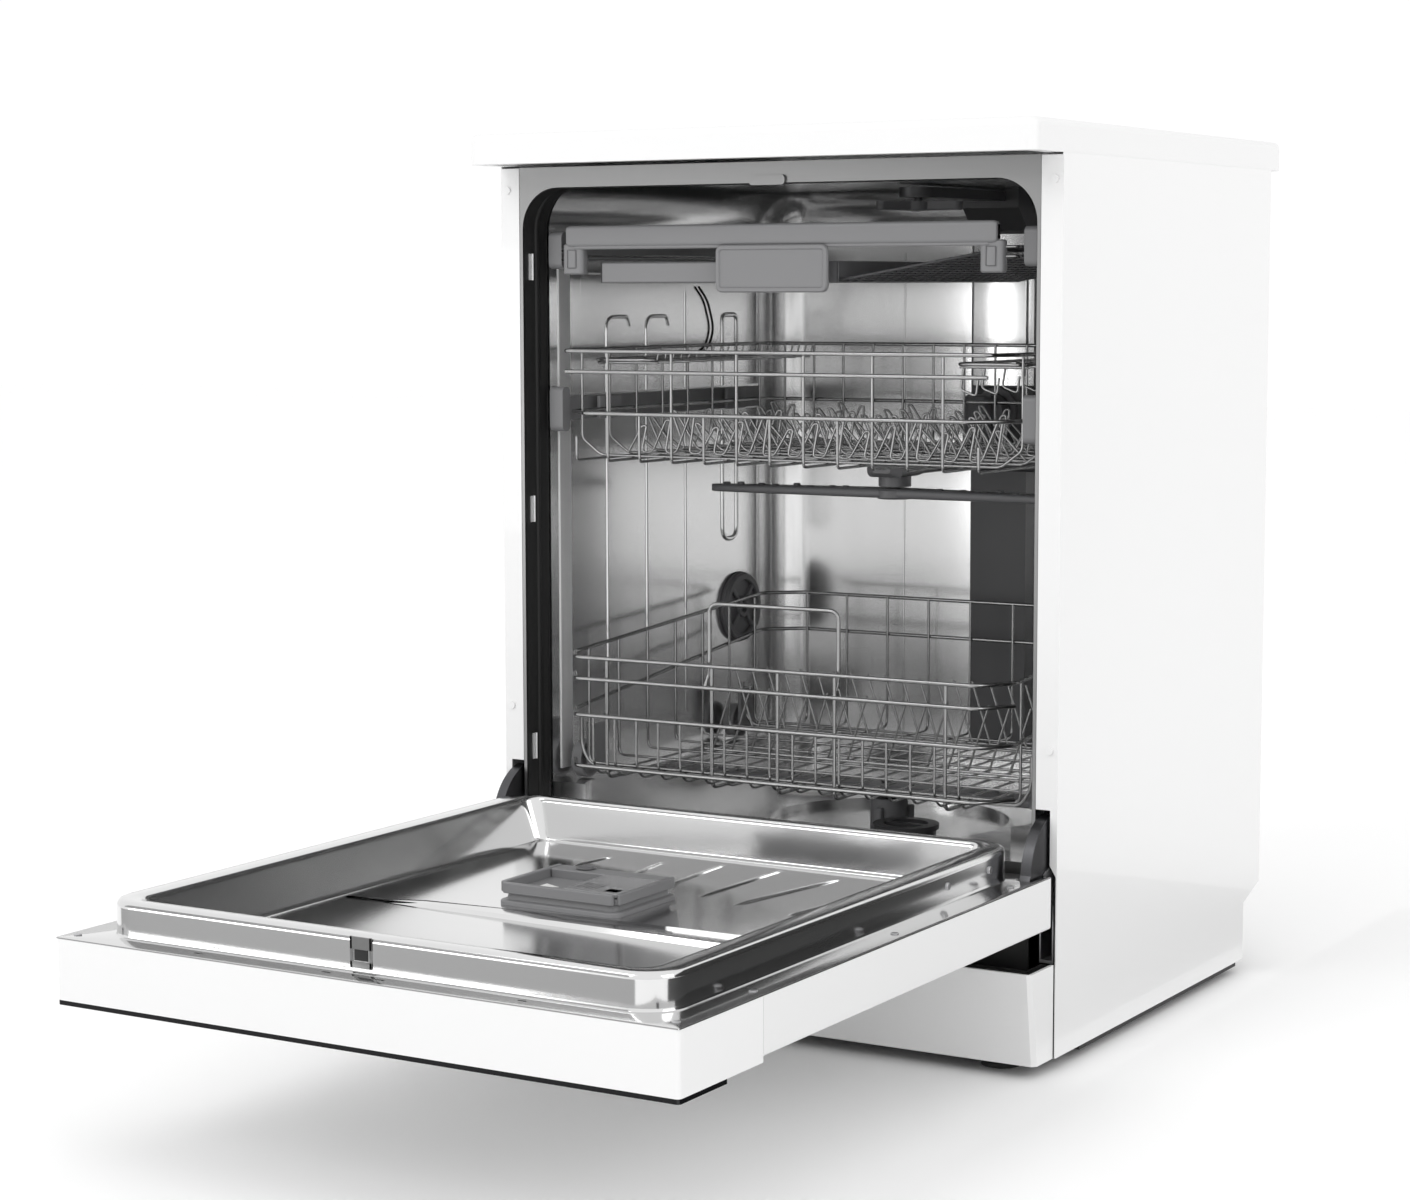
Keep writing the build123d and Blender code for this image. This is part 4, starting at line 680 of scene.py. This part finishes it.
liner_rings += [
    liner_ring(0.2500, -0.5575, 0.0180, 0.0200, RIM_TOP),
    liner_ring(0.2480, -0.5556, 0.0162, 0.0185, RIM_TOP - 0.0010),
    liner_ring(0.2465, -0.5543, 0.0150, 0.0175, RIM_TOP - 0.0032),
    liner_ring(0.24575, -0.55383, 0.01485, 0.0172, RIM_TOP - 0.00536),
    liner_ring(0.23475, -0.54697, 0.01265, 0.0128, TRAY_FLOOR + 0.00496),
    liner_ring(0.2340, -0.5465, 0.0125, 0.0125, TRAY_FLOOR + 0.0028),
    liner_ring(0.2325, -0.5450, 0.0112, 0.0115, TRAY_FLOOR + 0.0008),
    liner_ring(0.2300, -0.5425, 0.0090, 0.0095, TRAY_FLOOR),
]
points, faces = loft(liner_rings)
faces.append(tuple(range(len(points) - len(liner_rings[0]), len(points))))
liner = piece_from("door_liner_pressing", points, faces, liner_steel, "door", ["door_liner"], 35)
print("door liner:", len(points), "points")

# %% Slots for the hinge arms, cut out of the liner
cutter_points, cutter_faces = [], []
for side in (-1, 1):
    block = side_block(side, (0.277, 0.293), (0.010, 0.046), (0.170, 0.188), 0.0005, 0.002)
    cutter_points, cutter_faces = join((cutter_points, cutter_faces), block)
cutter_mesh = bpy.data.meshes.new("slot_cutter")
cutter_mesh.from_pydata([tuple(p) for p in cutter_points], [], cutter_faces)
cutter = bpy.data.objects.new("slot_cutter", cutter_mesh)
bpy.context.scene.collection.objects.link(cutter)
cut = liner.modifiers.new("slots", "BOOLEAN")
cut.operation = "DIFFERENCE"
cut.solver = "EXACT"
cut.object = cutter
bpy.context.view_layer.update()
shaped = bpy.data.meshes.new_from_object(liner.evaluated_get(bpy.context.evaluated_depsgraph_get()))
if len(shaped.polygons) > 100:
    liner.data = shaped
liner.modifiers.clear()
bpy.data.objects.remove(cutter)
print("liner faces after the slots:", len(liner.data.polygons))

# %% [markdown]
# ## Pressed ribs in the liner
# Long flat sheet rattles, so ribs are pressed into it: a wide band across the tray and short ribs that run
# towards the hinge. They are thin raised shapes with sloped sides that sit on the tray's floor.

# %% Band and ribs on the tray floor
RIB_SIDE = [(1, -0.05), (0.8, 0.15), (0.5, 0.9), (0.35, 1)]
RIB_SECTION = [(-u, v) for u, v in RIB_SIDE] + RIB_SIDE[::-1]


def pressed_rib(start, end, half, height, base, run_in=0.012):
    """A raised rib with sloped sides and ramped ends between two (x, y) points."""
    start, end = Vector((*start, 0)), Vector((*end, 0))
    along = (end - start).normalized()
    across = Vector((-along.y, along.x, 0))
    length = (end - start).length
    rings = []
    ramp = [(0, 0.02), (run_in * 0.4, 0.5), (run_in, 1)]
    for distance, share in ramp + [(length - d, share) for d, share in reversed(ramp)]:
        middle = start + along * distance
        ring = []
        for u, v in RIB_SECTION:
            point = middle + across * half * u
            ring.append(Vector((point.x, point.y, base + height * share * v)))
        rings.append(ring)
    return loft(rings, closed=False)


band = []
BAND = [(-0.228, -0.300, -0.292, 0.0004), (-0.150, -0.304, -0.276, 0.0028), (0.000, -0.310, -0.268, 0.0040)]
BAND += [(0.160, -0.316, -0.266, 0.0046), (0.228, -0.300, -0.266, 0.0046)]
for x, near, far, lift in BAND:
    ring = [(near, -0.0002), (near + 0.003, lift), (far - 0.012, lift), (far, -0.0002)]
    band.append([Vector((x, y, TRAY_FLOOR + z)) for y, z in ring])
ribs = [loft(band, closed=False)]
RIB_ENDS = [(-0.133, -0.082, -0.125, -0.027), (-0.058, -0.114, -0.069, -0.022)]
RIB_ENDS += [(-0.007, -0.127, -0.013, -0.006), (0.043, -0.143, 0.047, -0.004)]
RIB_ENDS += [(0.087, -0.157, 0.113, -0.014), (0.150, -0.170, 0.172, -0.030)]
for x0, y0, x1, y1 in RIB_ENDS:
    ribs.append(pressed_rib((x0, y0), (x1, y1), 0.0034, 0.0014, TRAY_FLOOR))
piece_from("door_liner_ribs", *join(*ribs), liner_steel, "door", smooth=50)

# %% Latch mouth, flange slots, screws and rivets on the liner
latch_low, latch_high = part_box("latch_hook")
latch_x = (latch_low.x + latch_high.x) / 2
wall = RIM_NEAR
bezel = []
BEZEL = [(-0.0105, -0.0080, 0.184, 0.2085), (0.0080, 0.0105, 0.184, 0.2085)]
BEZEL += [(-0.0105, 0.0105, 0.1985, 0.2085), (-0.0105, 0.0105, 0.184, 0.1895)]
for x0, x1, z0, z1 in BEZEL:
    start, end = (latch_x + x0, wall - 0.0009, z0), (latch_x + x1, wall + 0.0006, z1)
    bezel.append(soft_block(start, end, 0.0003, 0.0004))
piece_from("latch_mouth_bezel", *join(*bezel), frame_steel, "door")
# Painted shade: black slivers stand for the dark inside the latch mouth and the slots in the door flange.
start, end = (latch_x - 0.0066, wall - 0.0005, 0.1900), (latch_x + 0.0066, wall + 0.0005, 0.1985)
slots = [soft_block(start, end, 0.0001, 0.0004)]
for x in (-0.157, -0.029, 0.023, 0.154):
    slots.append(soft_block((x - 0.004, -0.5832, 0.1796), (x + 0.004, -0.5812, 0.1802), 0.0001, 0.0009))
piece_from("door_slot_painted_shade", *join(*slots), black_moulding, "door")
heads = []
for x in (-0.2865, 0.2865):
    for y in (-0.580, -0.470, -0.240, -0.020):
        heads.append(round_rod((x, y), 0.0034, 0.1798, 0.1812, "Z", 16))
for y in (-0.110, -0.028):
    heads.append(round_rod((y, 0.195), 0.0034, RIM_HALF - 0.0005, RIM_HALF + 0.0014, "X", 16))
    heads.append(round_rod((y, 0.195), 0.0034, -RIM_HALF - 0.0014, -RIM_HALF + 0.0005, "X", 16))
piece_from("door_liner_screws", *join(*heads), zinc_plate, "door")
print("liner details done")

# %% [markdown]
# ## The dispenser
# The dispenser holds the detergent behind a sliding lid, with the rinse-aid filler beside it. Its body is
# moulded, with a low skirt against the liner, so small lofted blocks with softened edges suit it. The bay on
# the left is open, and the smoked lid waits on the right.

# %% Dispenser body
low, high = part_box("dispenser_body")
lid_low, lid_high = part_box("dispenser_lid")
top = high.z
bay = (low.x + 0.006, lid_low.y - 0.0005, lid_low.x - 0.002, lid_high.y + 0.0005)
body_parts = []
deck = top - 0.0085
skirt = []
for inset, corner, z in (
    (0, 0.010, TRAY_FLOOR + 0.0001),
    (0, 0.010, TRAY_FLOOR + 0.0030),
    (0.001, 0.009, TRAY_FLOOR + 0.0040),
    (0.0045, 0.009, TRAY_FLOOR + 0.0048),
    (0.0060, 0.008, deck),
):
    near, far = (low.x + inset, low.y + inset), (high.x - inset, high.y - inset)
    skirt.append(rounded_ring(near, far, corner, z))
body_parts.append(loft(skirt, cap_first=True, cap_last=True))


def rail_block(x0, y0, x1, y1, z0, z1, edge=0.0008, corner=0.002):
    """A moulded block of the dispenser."""
    body_parts.append(soft_block((x0, y0, z0), (x1, y1, z1), edge, corner))


rail_block(low.x + 0.006, low.y + 0.0005, high.x - 0.005, bay[1] - 0.0002, deck - 0.001, top)
rail_block(low.x + 0.006, bay[3] + 0.0002, high.x - 0.005, high.y - 0.006, deck - 0.001, top - 0.0005)
rail_block(low.x + 0.0005, low.y + 0.006, bay[0], high.y - 0.006, deck - 0.001, top)
rail_block(high.x - 0.004, low.y + 0.006, high.x - 0.0005, high.y - 0.006, deck - 0.001, top)
rail_block(lid_low.x - 0.001, bay[1], high.x - 0.003, bay[3], deck - 0.001, top - 0.0045)
rail_block(lid_low.x - 0.0022, bay[1], lid_low.x - 0.0004, bay[3], deck - 0.001, top - 0.0045)
piece_from("dispenser_moulding", *join(*body_parts), grey_moulding, "door", ["dispenser_body"])

# %% Dispenser lid, marks and filler cap
lid_parts = [soft_block(lid_low, lid_high, 0.0008, 0.003)]
for count in range(5):
    x = lid_low.x + 0.008 + 0.0045 * count
    start, end = (x, lid_low.y + 0.010, lid_high.z - 0.0010), (x + 0.0016, lid_low.y + 0.032, lid_high.z)
    lid_parts.append(soft_block(start, end, 0.0003, 0.0006))
start = (lid_high.x - 0.018, lid_low.y + 0.006, lid_high.z - 0.001)
lid_parts.append(soft_block(start, (lid_high.x - 0.004, lid_low.y + 0.018, lid_high.z), 0.0003, 0.001))
piece_from("dispenser_lid_moulding", *join(*lid_parts), smoked_lid, "dispenser_lid", ["dispenser_lid"])
mark_z = deck + 0.0002
cx, cy = (bay[0] + bay[2]) / 2 - 0.004, (bay[1] + bay[3]) / 2
triangle = [Vector((cx + u, cy + v, mark_z)) for u, v in ((-0.010, -0.008), (-0.010, 0.008), (0.008, 0))]
raised = [p + Vector((0, 0, 0.0003)) for p in triangle]
piece_from("dispenser_arrow", *loft([triangle, raised], cap_last=True), white_moulding, "door")
cap_low, cap_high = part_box("rinse_aid_cap")
cap_x, cap_y = (cap_low.x + cap_high.x) / 2, (cap_low.y + cap_high.y) / 2
cap_parts = [round_rod((cap_x, cap_y), 0.0094, cap_low.z, cap_low.z + 0.0012, "Z", 32, 0.0004)]
start = (cap_x - 0.0075, cap_y - 0.0014, cap_low.z + 0.0008)
end = (cap_x + 0.0075, cap_y + 0.0014, cap_high.z)
cap_parts.append(soft_block(start, end, 0.0004, 0.0012))
piece_from("rinse_aid_cap_moulding", *join(*cap_parts), mid_moulding, "rinse_aid_cap", ["rinse_aid_cap"])
print("dispenser done")

# %% [markdown]
# ## The gasket
# A rubber strip runs up one side of the opening, over the top and down the other. Its section has two soft
# lips. One section is swept along the path: at each station the lips point inwards, square to the path.

# %% Door gasket
low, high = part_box("door_gasket")
gasket_corner = 0.0458
LIPS = [(0, 0.0702), (0.0026, 0.0702), (0.0041, 0.0718), (0.0042, 0.0740), (0.0028, 0.0765), (0.0026, 0.0800)]
LIPS += [(0.0040, 0.0830), (0.0043, 0.0870), (0.0036, 0.0900), (0.0020, 0.0917), (0, 0.0918)]


def arch_stations(half, bottom, top, corner, steps=10):
    """(place, inward direction) up one side, over the top and down the other."""
    stations = [(Vector((-half, 0, bottom)), Vector((1, 0, 0)))]
    for side, start in ((-1, 180), (1, 90)):
        centre = Vector((side * (half - corner), 0, top - corner))
        for step in range(steps + 1):
            angle = math.radians(start - 90 * step / steps)
            out = Vector((math.cos(angle), 0, math.sin(angle)))
            stations.append((centre + out * corner, -out))
    stations.append((Vector((half, 0, bottom)), Vector((-1, 0, 0))))
    return stations


rings = []
for place, inward in arch_stations(high.x, low.z, high.z, gasket_corner):
    rings.append([place + inward * d + Vector((0, y, 0)) for d, y in LIPS])
piece_from("door_gasket_lips", *loft(rings), black_rubber, "cabinet", ["door_gasket"], 60)
print("gasket done")

# %% Black lip in the side reveals, with painted highlights on the reveal slots and the tub's side folds
opening = arch_stations(0.274, 0.190, 0.800, 0.040)
lip = []
for y in (0.0512, 0.0690):
    lip.append([place + inward * 0.0007 + Vector((0, y, 0)) for place, inward in opening])
piece_from("reveal_lip", *loft(lip, closed=False), black_rubber, "cabinet")
# The slot inserts and the side strips are painted highlights: bright steel put where the slots and the
# rounded folds of the tub walls catch the light.
slot_highlights, fold_highlights = [], []
for side in (-1, 1):
    for z in (0.251, 0.487, 0.724):
        up = (z - 0.013, z + 0.013)
        slot_highlights.append(side_block(side, (0.2730, 0.2741), (0.0590, 0.0650), up, 0.0004, 0.0025))
    fold_highlights.append(side_block(side, (0.2708, 0.2722), (0.1075, 0.1285), (0.222, 0.745), 0.0006, 0.0010))
piece_from("reveal_slot_painted_highlights", *join(*slot_highlights), highlight_steel, "cabinet")
piece_from("tub_side_fold_painted_highlights", *join(*fold_highlights), highlight_steel, "cabinet")

# %% [markdown]
# ## Ribs and seams in the tub
# The side walls carry upright pressed ribs with hooked tops, which stiffen them and guide the water down. The
# rear wall has a few upright seams. Thin half-sunk wires in the same steel give the pressed line its light
# side and its dark side.

# %% Tub ribs
WALL_X = 0.272
RIB_FOOT, RIB_TOP = 0.250, 0.674
HOOK_BEND = [(0, RIB_FOOT), (0, RIB_TOP), (0.040, RIB_TOP), (0.044, RIB_TOP - 0.010)]
LOOP = [(0.427, RIB_TOP), (0.427, 0.430), (0.457, 0.430), (0.457, RIB_TOP)]
FRAME = [(0.150, 0.700), (0.150, 0.718), (0.503, 0.718), (0.503, RIB_FOOT)]
ridge_runs = []
for side in (-1, 1):
    x = side * (WALL_X + 0.0006)
    for start in (0.196, 0.272):
        ridge_runs.append(([(x, start + y, z) for y, z in HOOK_BEND], 0.0022, False))
    ridge_runs.append(([(x, 0.350, RIB_FOOT), (x, 0.350, 0.700)], 0.0020, False))
    ridge_runs.append(([(x, y, z) for y, z in LOOP], 0.0028, True))
    ridge_runs.append(([(x, y, z) for y, z in FRAME], 0.0014, False))
wire_piece("tub_side_ribs", ridge_runs, tub_steel, "cabinet", (), 0.014)
seams = []
back_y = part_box("tub_back")[1].y - 0.0014
for x in (-0.110, 0.105, 0.205):
    seams.append(([(x, back_y, 0.215), (x, back_y, 0.740)], 0.0012, False))
wire_piece("tub_rear_seams", seams, tub_steel, "cabinet")
DRAIN_LINE = [(0.374, 0.704), (0.392, 0.690), (0.405, 0.660), (0.395, 0.640), (0.363, 0.630)]
drain_run = ([(-WALL_X + 0.0025, y, z) for y, z in DRAIN_LINE], 0.0013, False)
wire_piece("tub_side_drain_line", [drain_run], black_moulding, "cabinet", (), 0.02)
print("tub ribs done")

# %% Duct cover, dock and vent cap
cover = soft_block((-0.0204, 0.5243, 0.598), (0.0454, 0.5446, 0.7600), 0.001, 0.004)
piece_from("duct_steel_cover", *cover, tub_steel, "cabinet")
dock = [soft_block((-0.016, 0.5205, 0.508), (0.058, 0.5445, 0.597), 0.002, 0.006)]
DOCK = (0.012, 0.573)
dock.append(round_rod(DOCK, 0.0225, 0.5192, 0.530, "Y", 36, 0.001))
piece_from("duct_dock", *join(*dock), dark_moulding, "cabinet")
COLLAR = ((0.0175, 0.5192), (0.0180, 0.5184), (0.0235, 0.5184), (0.0240, 0.5200))
collar = [circle(DOCK, r, along, "Y", 40) for r, along in COLLAR]
piece_from("duct_dock_collar", *loft(collar), mid_moulding, "cabinet")
cap_low, cap_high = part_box("vent_cap")
vy, vz = (cap_low.y + cap_high.y) / 2, (cap_low.z + cap_high.z) / 2
vx = cap_low.x
grille = [round_rod((vy, vz), 0.039, vx, vx + 0.003, "X", 48, 0.001)]
PROUD = 0.0078
for inner, outer in ((0.030, 0.0375), (0.006, 0.012)):
    section = [(inner, 0.002), (inner, PROUD - 0.001), (inner + 0.001, PROUD)]
    section += [(outer - 0.0015, PROUD), (outer, PROUD - 0.0015), (outer, 0.002)]
    grille.append(loft([circle((vy, vz), r, vx + along, "X", 48) for r, along in section]))
for blade in range(4):
    spin = Matrix.Rotation(math.radians(45 + 90 * blade), 4, "X")
    points, faces = soft_block((0.002, -0.0025, 0.010), (0.0065, 0.0025, 0.032), 0.0005, 0.001)
    grille.append(([spin @ p + Vector((vx, vy, vz)) for p in points], faces))
piece_from("vent_cap_grille", *join(*grille), mid_moulding, "cabinet", ["vent_cap"])
print("duct and vent done")

# %% Latch strike tongues
low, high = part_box("latch_strike")
mid_x = (low.x + high.x) / 2
# The tongues are painted highlights: the bright steel stands for the light they catch.
tongues = []
for side in (-1, 1):
    a, b = sorted((mid_x + side * 0.0035, mid_x + side * 0.0165))
    start, end = (a, low.y + 0.0002, low.z + 0.0006), (b, low.y + 0.0035, low.z + 0.0075)
    tongues.append(soft_block(start, end, 0.0008, 0.0028))
piece_from("latch_strike_tongues", *join(*tongues), highlight_steel, "cabinet")

# %% [markdown]
# ## The cutlery tray
# The tray hangs above the glasses. A deep half on the left carries long cutlery, a sloping half on the right
# leaves room for tall glasses below, and a smooth bar with a wide grip closes the front. The floors are open
# lattices: thin bars one way and thinner bars across.

# %% Cutlery tray lattices
low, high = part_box("cutlery_tray")
WELL_X = (low.x, 0.062)
WING_X = (0.062, high.x)
FLOOR_Z = low.z
parts = []


def bar(x0, y0, z0, x1, y1, z1):
    """One moulded bar of the tray."""
    parts.append(soft_block((x0, y0, z0), (x1, y1, z1), 0.0005, 0.0008))


bar(WELL_X[0], low.y, FLOOR_Z, WELL_X[0] + 0.0025, high.y, 0.728)
bar(WELL_X[1] - 0.0025, low.y, FLOOR_Z, WELL_X[1], high.y, 0.728)
bar(WELL_X[0], low.y, FLOOR_Z, WELL_X[1], low.y + 0.0025, 0.728)
bar(WELL_X[0], high.y - 0.0025, FLOOR_Z, WELL_X[1], high.y, 0.728)
for count in range(22):
    x = WELL_X[0] + 0.006 + count * (WELL_X[1] - WELL_X[0] - 0.014) / 21
    bar(x, low.y + 0.002, FLOOR_Z, x + 0.0022, high.y - 0.002, FLOOR_Z + 0.0030)
for count in range(20):
    y = low.y + 0.006 + count * (high.y - low.y - 0.014) / 19
    bar(WELL_X[0] + 0.002, y, FLOOR_Z + 0.0004, WELL_X[1] - 0.002, y + 0.0022, FLOOR_Z + 0.0026)
    bar(WELL_X[0] + 0.004, y, FLOOR_Z, WELL_X[0] + 0.0062, y + 0.0022, 0.724)
# One moulding in two greys: the lighter grey on this deep well is painted light on its front-facing bars.
piece_from("cutlery_well_lattice_painted_light", *join(*parts), mid_moulding, "cutlery_tray", ["cutlery_tray"])
parts = []
slope = math.atan2(0.026, WING_X[1] - WING_X[0])
for count in range(13):
    u = 0.001 + count * (WING_X[1] - WING_X[0] - 0.006) / 12
    bar(u, low.y, 0, u + 0.0024, high.y, 0.0030)
for count in range(26):
    y = low.y + count * (high.y - low.y - 0.0022) / 25
    bar(0, y, 0.0002, WING_X[1] - WING_X[0] - 0.002, y + 0.0022, 0.0026)
bar(WING_X[1] - WING_X[0] - 0.005, low.y, 0, WING_X[1] - WING_X[0] - 0.0025, high.y, 0.006)
points, faces = join(*parts)
tilt = Matrix.Translation((WING_X[0], 0, 0.7088)) @ Matrix.Rotation(-slope, 4, "Y")
# The darker grey on the sloping wing is painted shade on its underside, seen from below.
piece_from("cutlery_wing_lattice_painted_shade", [tilt @ p for p in points], faces, dark_moulding, "cutlery_tray")

# %% Cutlery tray front bar, grip and hangers
low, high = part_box("tray_front")
parts = []
bar_low, bar_high = 0.743, 0.763
rings = []
for x in (-0.2308, -0.2295, -0.226, 0.226, 0.2295, 0.2308):
    shrink = 0.0035 if abs(x) > 0.2305 else (0.0010 if abs(x) > 0.2285 else 0)
    start, end = (low.y + 0.0025 + shrink, bar_low + shrink), (0.0678 - shrink, bar_high - shrink)
    ring = rounded_ring(start, end, 0.0035, 0, 5)
    rings.append([Vector((x, p.x, p.y)) for p in ring])
parts.append(loft(rings, cap_first=True, cap_last=True))
parts.append(soft_block((-0.222, low.y + 0.0045, 0.7405), (0.222, 0.0675, 0.7455), 0.001, 0.002))
GRIP_HALF, GRIP_LOW, GRIP_HIGH = 0.060, 0.699, 0.7435
steps_in = [(0.0012, 0.0615), (0, 0.0605), (0, low.y + 0.0020)]
steps_in += [(0.0012, low.y + 0.0005), (0.0040, low.y + 0.0005), (0.0052, low.y + 0.0018)]
grip_rings = []
for inset, y in steps_in:
    start, end = (-GRIP_HALF + inset, GRIP_LOW + inset), (GRIP_HALF - inset, GRIP_HIGH - inset)
    ring = rounded_ring(start, end, max(0.007 - inset, 0.002), 0, 6)
    grip_rings.append([Vector((p.x, y, p.y)) for p in ring])
parts.append(loft(grip_rings, cap_first=True, cap_last=True))
parts.append(soft_block((-0.196, 0.0700, 0.7085), (-0.062, 0.0745, 0.7275), 0.001, 0.002))
for side in (-1, 1):
    parts.append(side_block(side, (0.2120, 0.2355), (0.0615, 0.0735), (0.7165, 0.7460), 0.0015, 0.004))
    parts.append(side_block(side, (0.2190, 0.2290), (0.0605, 0.0625), (0.7225, 0.7400), 0.0006, 0.002))
piece_from("cutlery_tray_front_moulding", *join(*parts), grey_moulding, "cutlery_tray", ["tray_front"])
links = []
for side in (-1, 1):
    for z in (0.731, 0.7395):
        link_path = [(side * x, y, z) for x, y in ((0.233, 0.0685), (0.2455, 0.0740), (0.2455, 0.1200))]
        links.append((link_path, 0.0015, False))
    links.append(([(side * 0.2165, 0.074, 0.734), (side * 0.2165, 0.460, 0.734)], 0.0016, False))
wire_piece("cutlery_tray_wires", links, bright_wire, "cutlery_tray", (), 0.008)
print("cutlery tray done")

# %% [markdown]
# ## Floor and light
# A plain pale floor and a white surround keep the view clean. Two large soft lamps shape the cabinet, and a
# low lamp from the left reaches into the tub. It and the grey cards are there for the steel, which shows only
# what it mirrors: the cards give it something darker, and no direct view ever sees them.

# %% Floor
def flat_sheet(name, corners, material):
    """A flat sheet that belongs to the studio, not to the machine."""
    mesh = bpy.data.meshes.new(name)
    mesh.from_pydata([tuple(c) for c in corners], [], [(0, 1, 2, 3)])
    mesh.materials.append(material)
    sheet = bpy.data.objects.new(name, mesh)
    bpy.context.scene.collection.objects.link(sheet)
    return sheet


REACH = 14.0
pale_floor = finish("pale floor", (0.985, 0.985, 0.985), 0.85, grain=6, bump=0.0, spread=0.03)
flat_sheet("floor", [(REACH * u, REACH * v, 0) for u, v in ((-1, -1), (1, -1), (1, 1), (-1, 1))], pale_floor)

# %% Surround, lamps and cards
world = bpy.data.worlds.new("white surround")
world.use_nodes = True
world.node_tree.nodes["Background"].inputs["Color"].default_value = (1, 1, 1, 1)
world.node_tree.nodes["Background"].inputs["Strength"].default_value = 1.02
bpy.context.scene.world = world
bpy.context.scene.view_settings.view_transform = "Standard"


def lamp(name, place, target, size, watts):
    """A square soft lamp that faces a point."""
    data = bpy.data.lights.new(name, "AREA")
    data.size = size
    data.energy = watts
    made = bpy.data.objects.new(name, data)
    made.location = place
    made.rotation_euler = (Vector(target) - Vector(place)).to_track_quat("-Z", "Y").to_euler()
    bpy.context.scene.collection.objects.link(made)
    return made


lamp("front_lamp", (-1.2, -3.0, 2.6), (0, 0.1, 0.4), 1.8, 30)
lamp("side_lamp", (3.0, -0.6, 1.6), (0.2, 0.2, 0.4), 1.6, 12)
tub_lamp = lamp("tub_lamp", (-1.7, -2.5, 0.50), (0.0, 0.5, 0.40), 1.3, 7)
tub_lamp.data.shape = "RECTANGLE"
tub_lamp.data.size_y = 0.55
tub_lamp.visible_diffuse = False
card_grey = finish("card", (0.02, 0.02, 0.02), 0.9, bump=0.0, spread=0.02)
card_mid = finish("mid card", (0.36, 0.36, 0.36), 0.9, bump=0.0, spread=0.02)


def upright(x0, y0, x1, y1, bottom, top):
    """Corners of an upright sheet over a line on the floor."""
    return [(x0, y0, bottom), (x1, y1, bottom), (x1, y1, top), (x0, y0, top)]


def lying(x0, y0, x1, y1, z=0.003):
    """Corners of a sheet that lies just above the floor."""
    return [(x0, y0, z), (x1, y0, z), (x1, y1, z), (x0, y1, z)]


cards = [
    flat_sheet("right_card", upright(0.80, 0.95, 3.4, 0.2, 0.0, 1.3), card_grey),
    flat_sheet("low_card", lying(0.34, -0.65, 1.6, 0.9), card_grey),
    flat_sheet("front_card", upright(-0.4, -2.7, -2.6, -1.4, 0.78, 2.2), card_mid),
    flat_sheet("near_card", lying(-1.9, -2.4, 0.25, -0.64), card_mid),
]
for card in cards:
    for ray in ("camera", "diffuse", "shadow", "transmission", "volume_scatter"):
        setattr(card, "visible_" + ray, False)
print("studio ready")
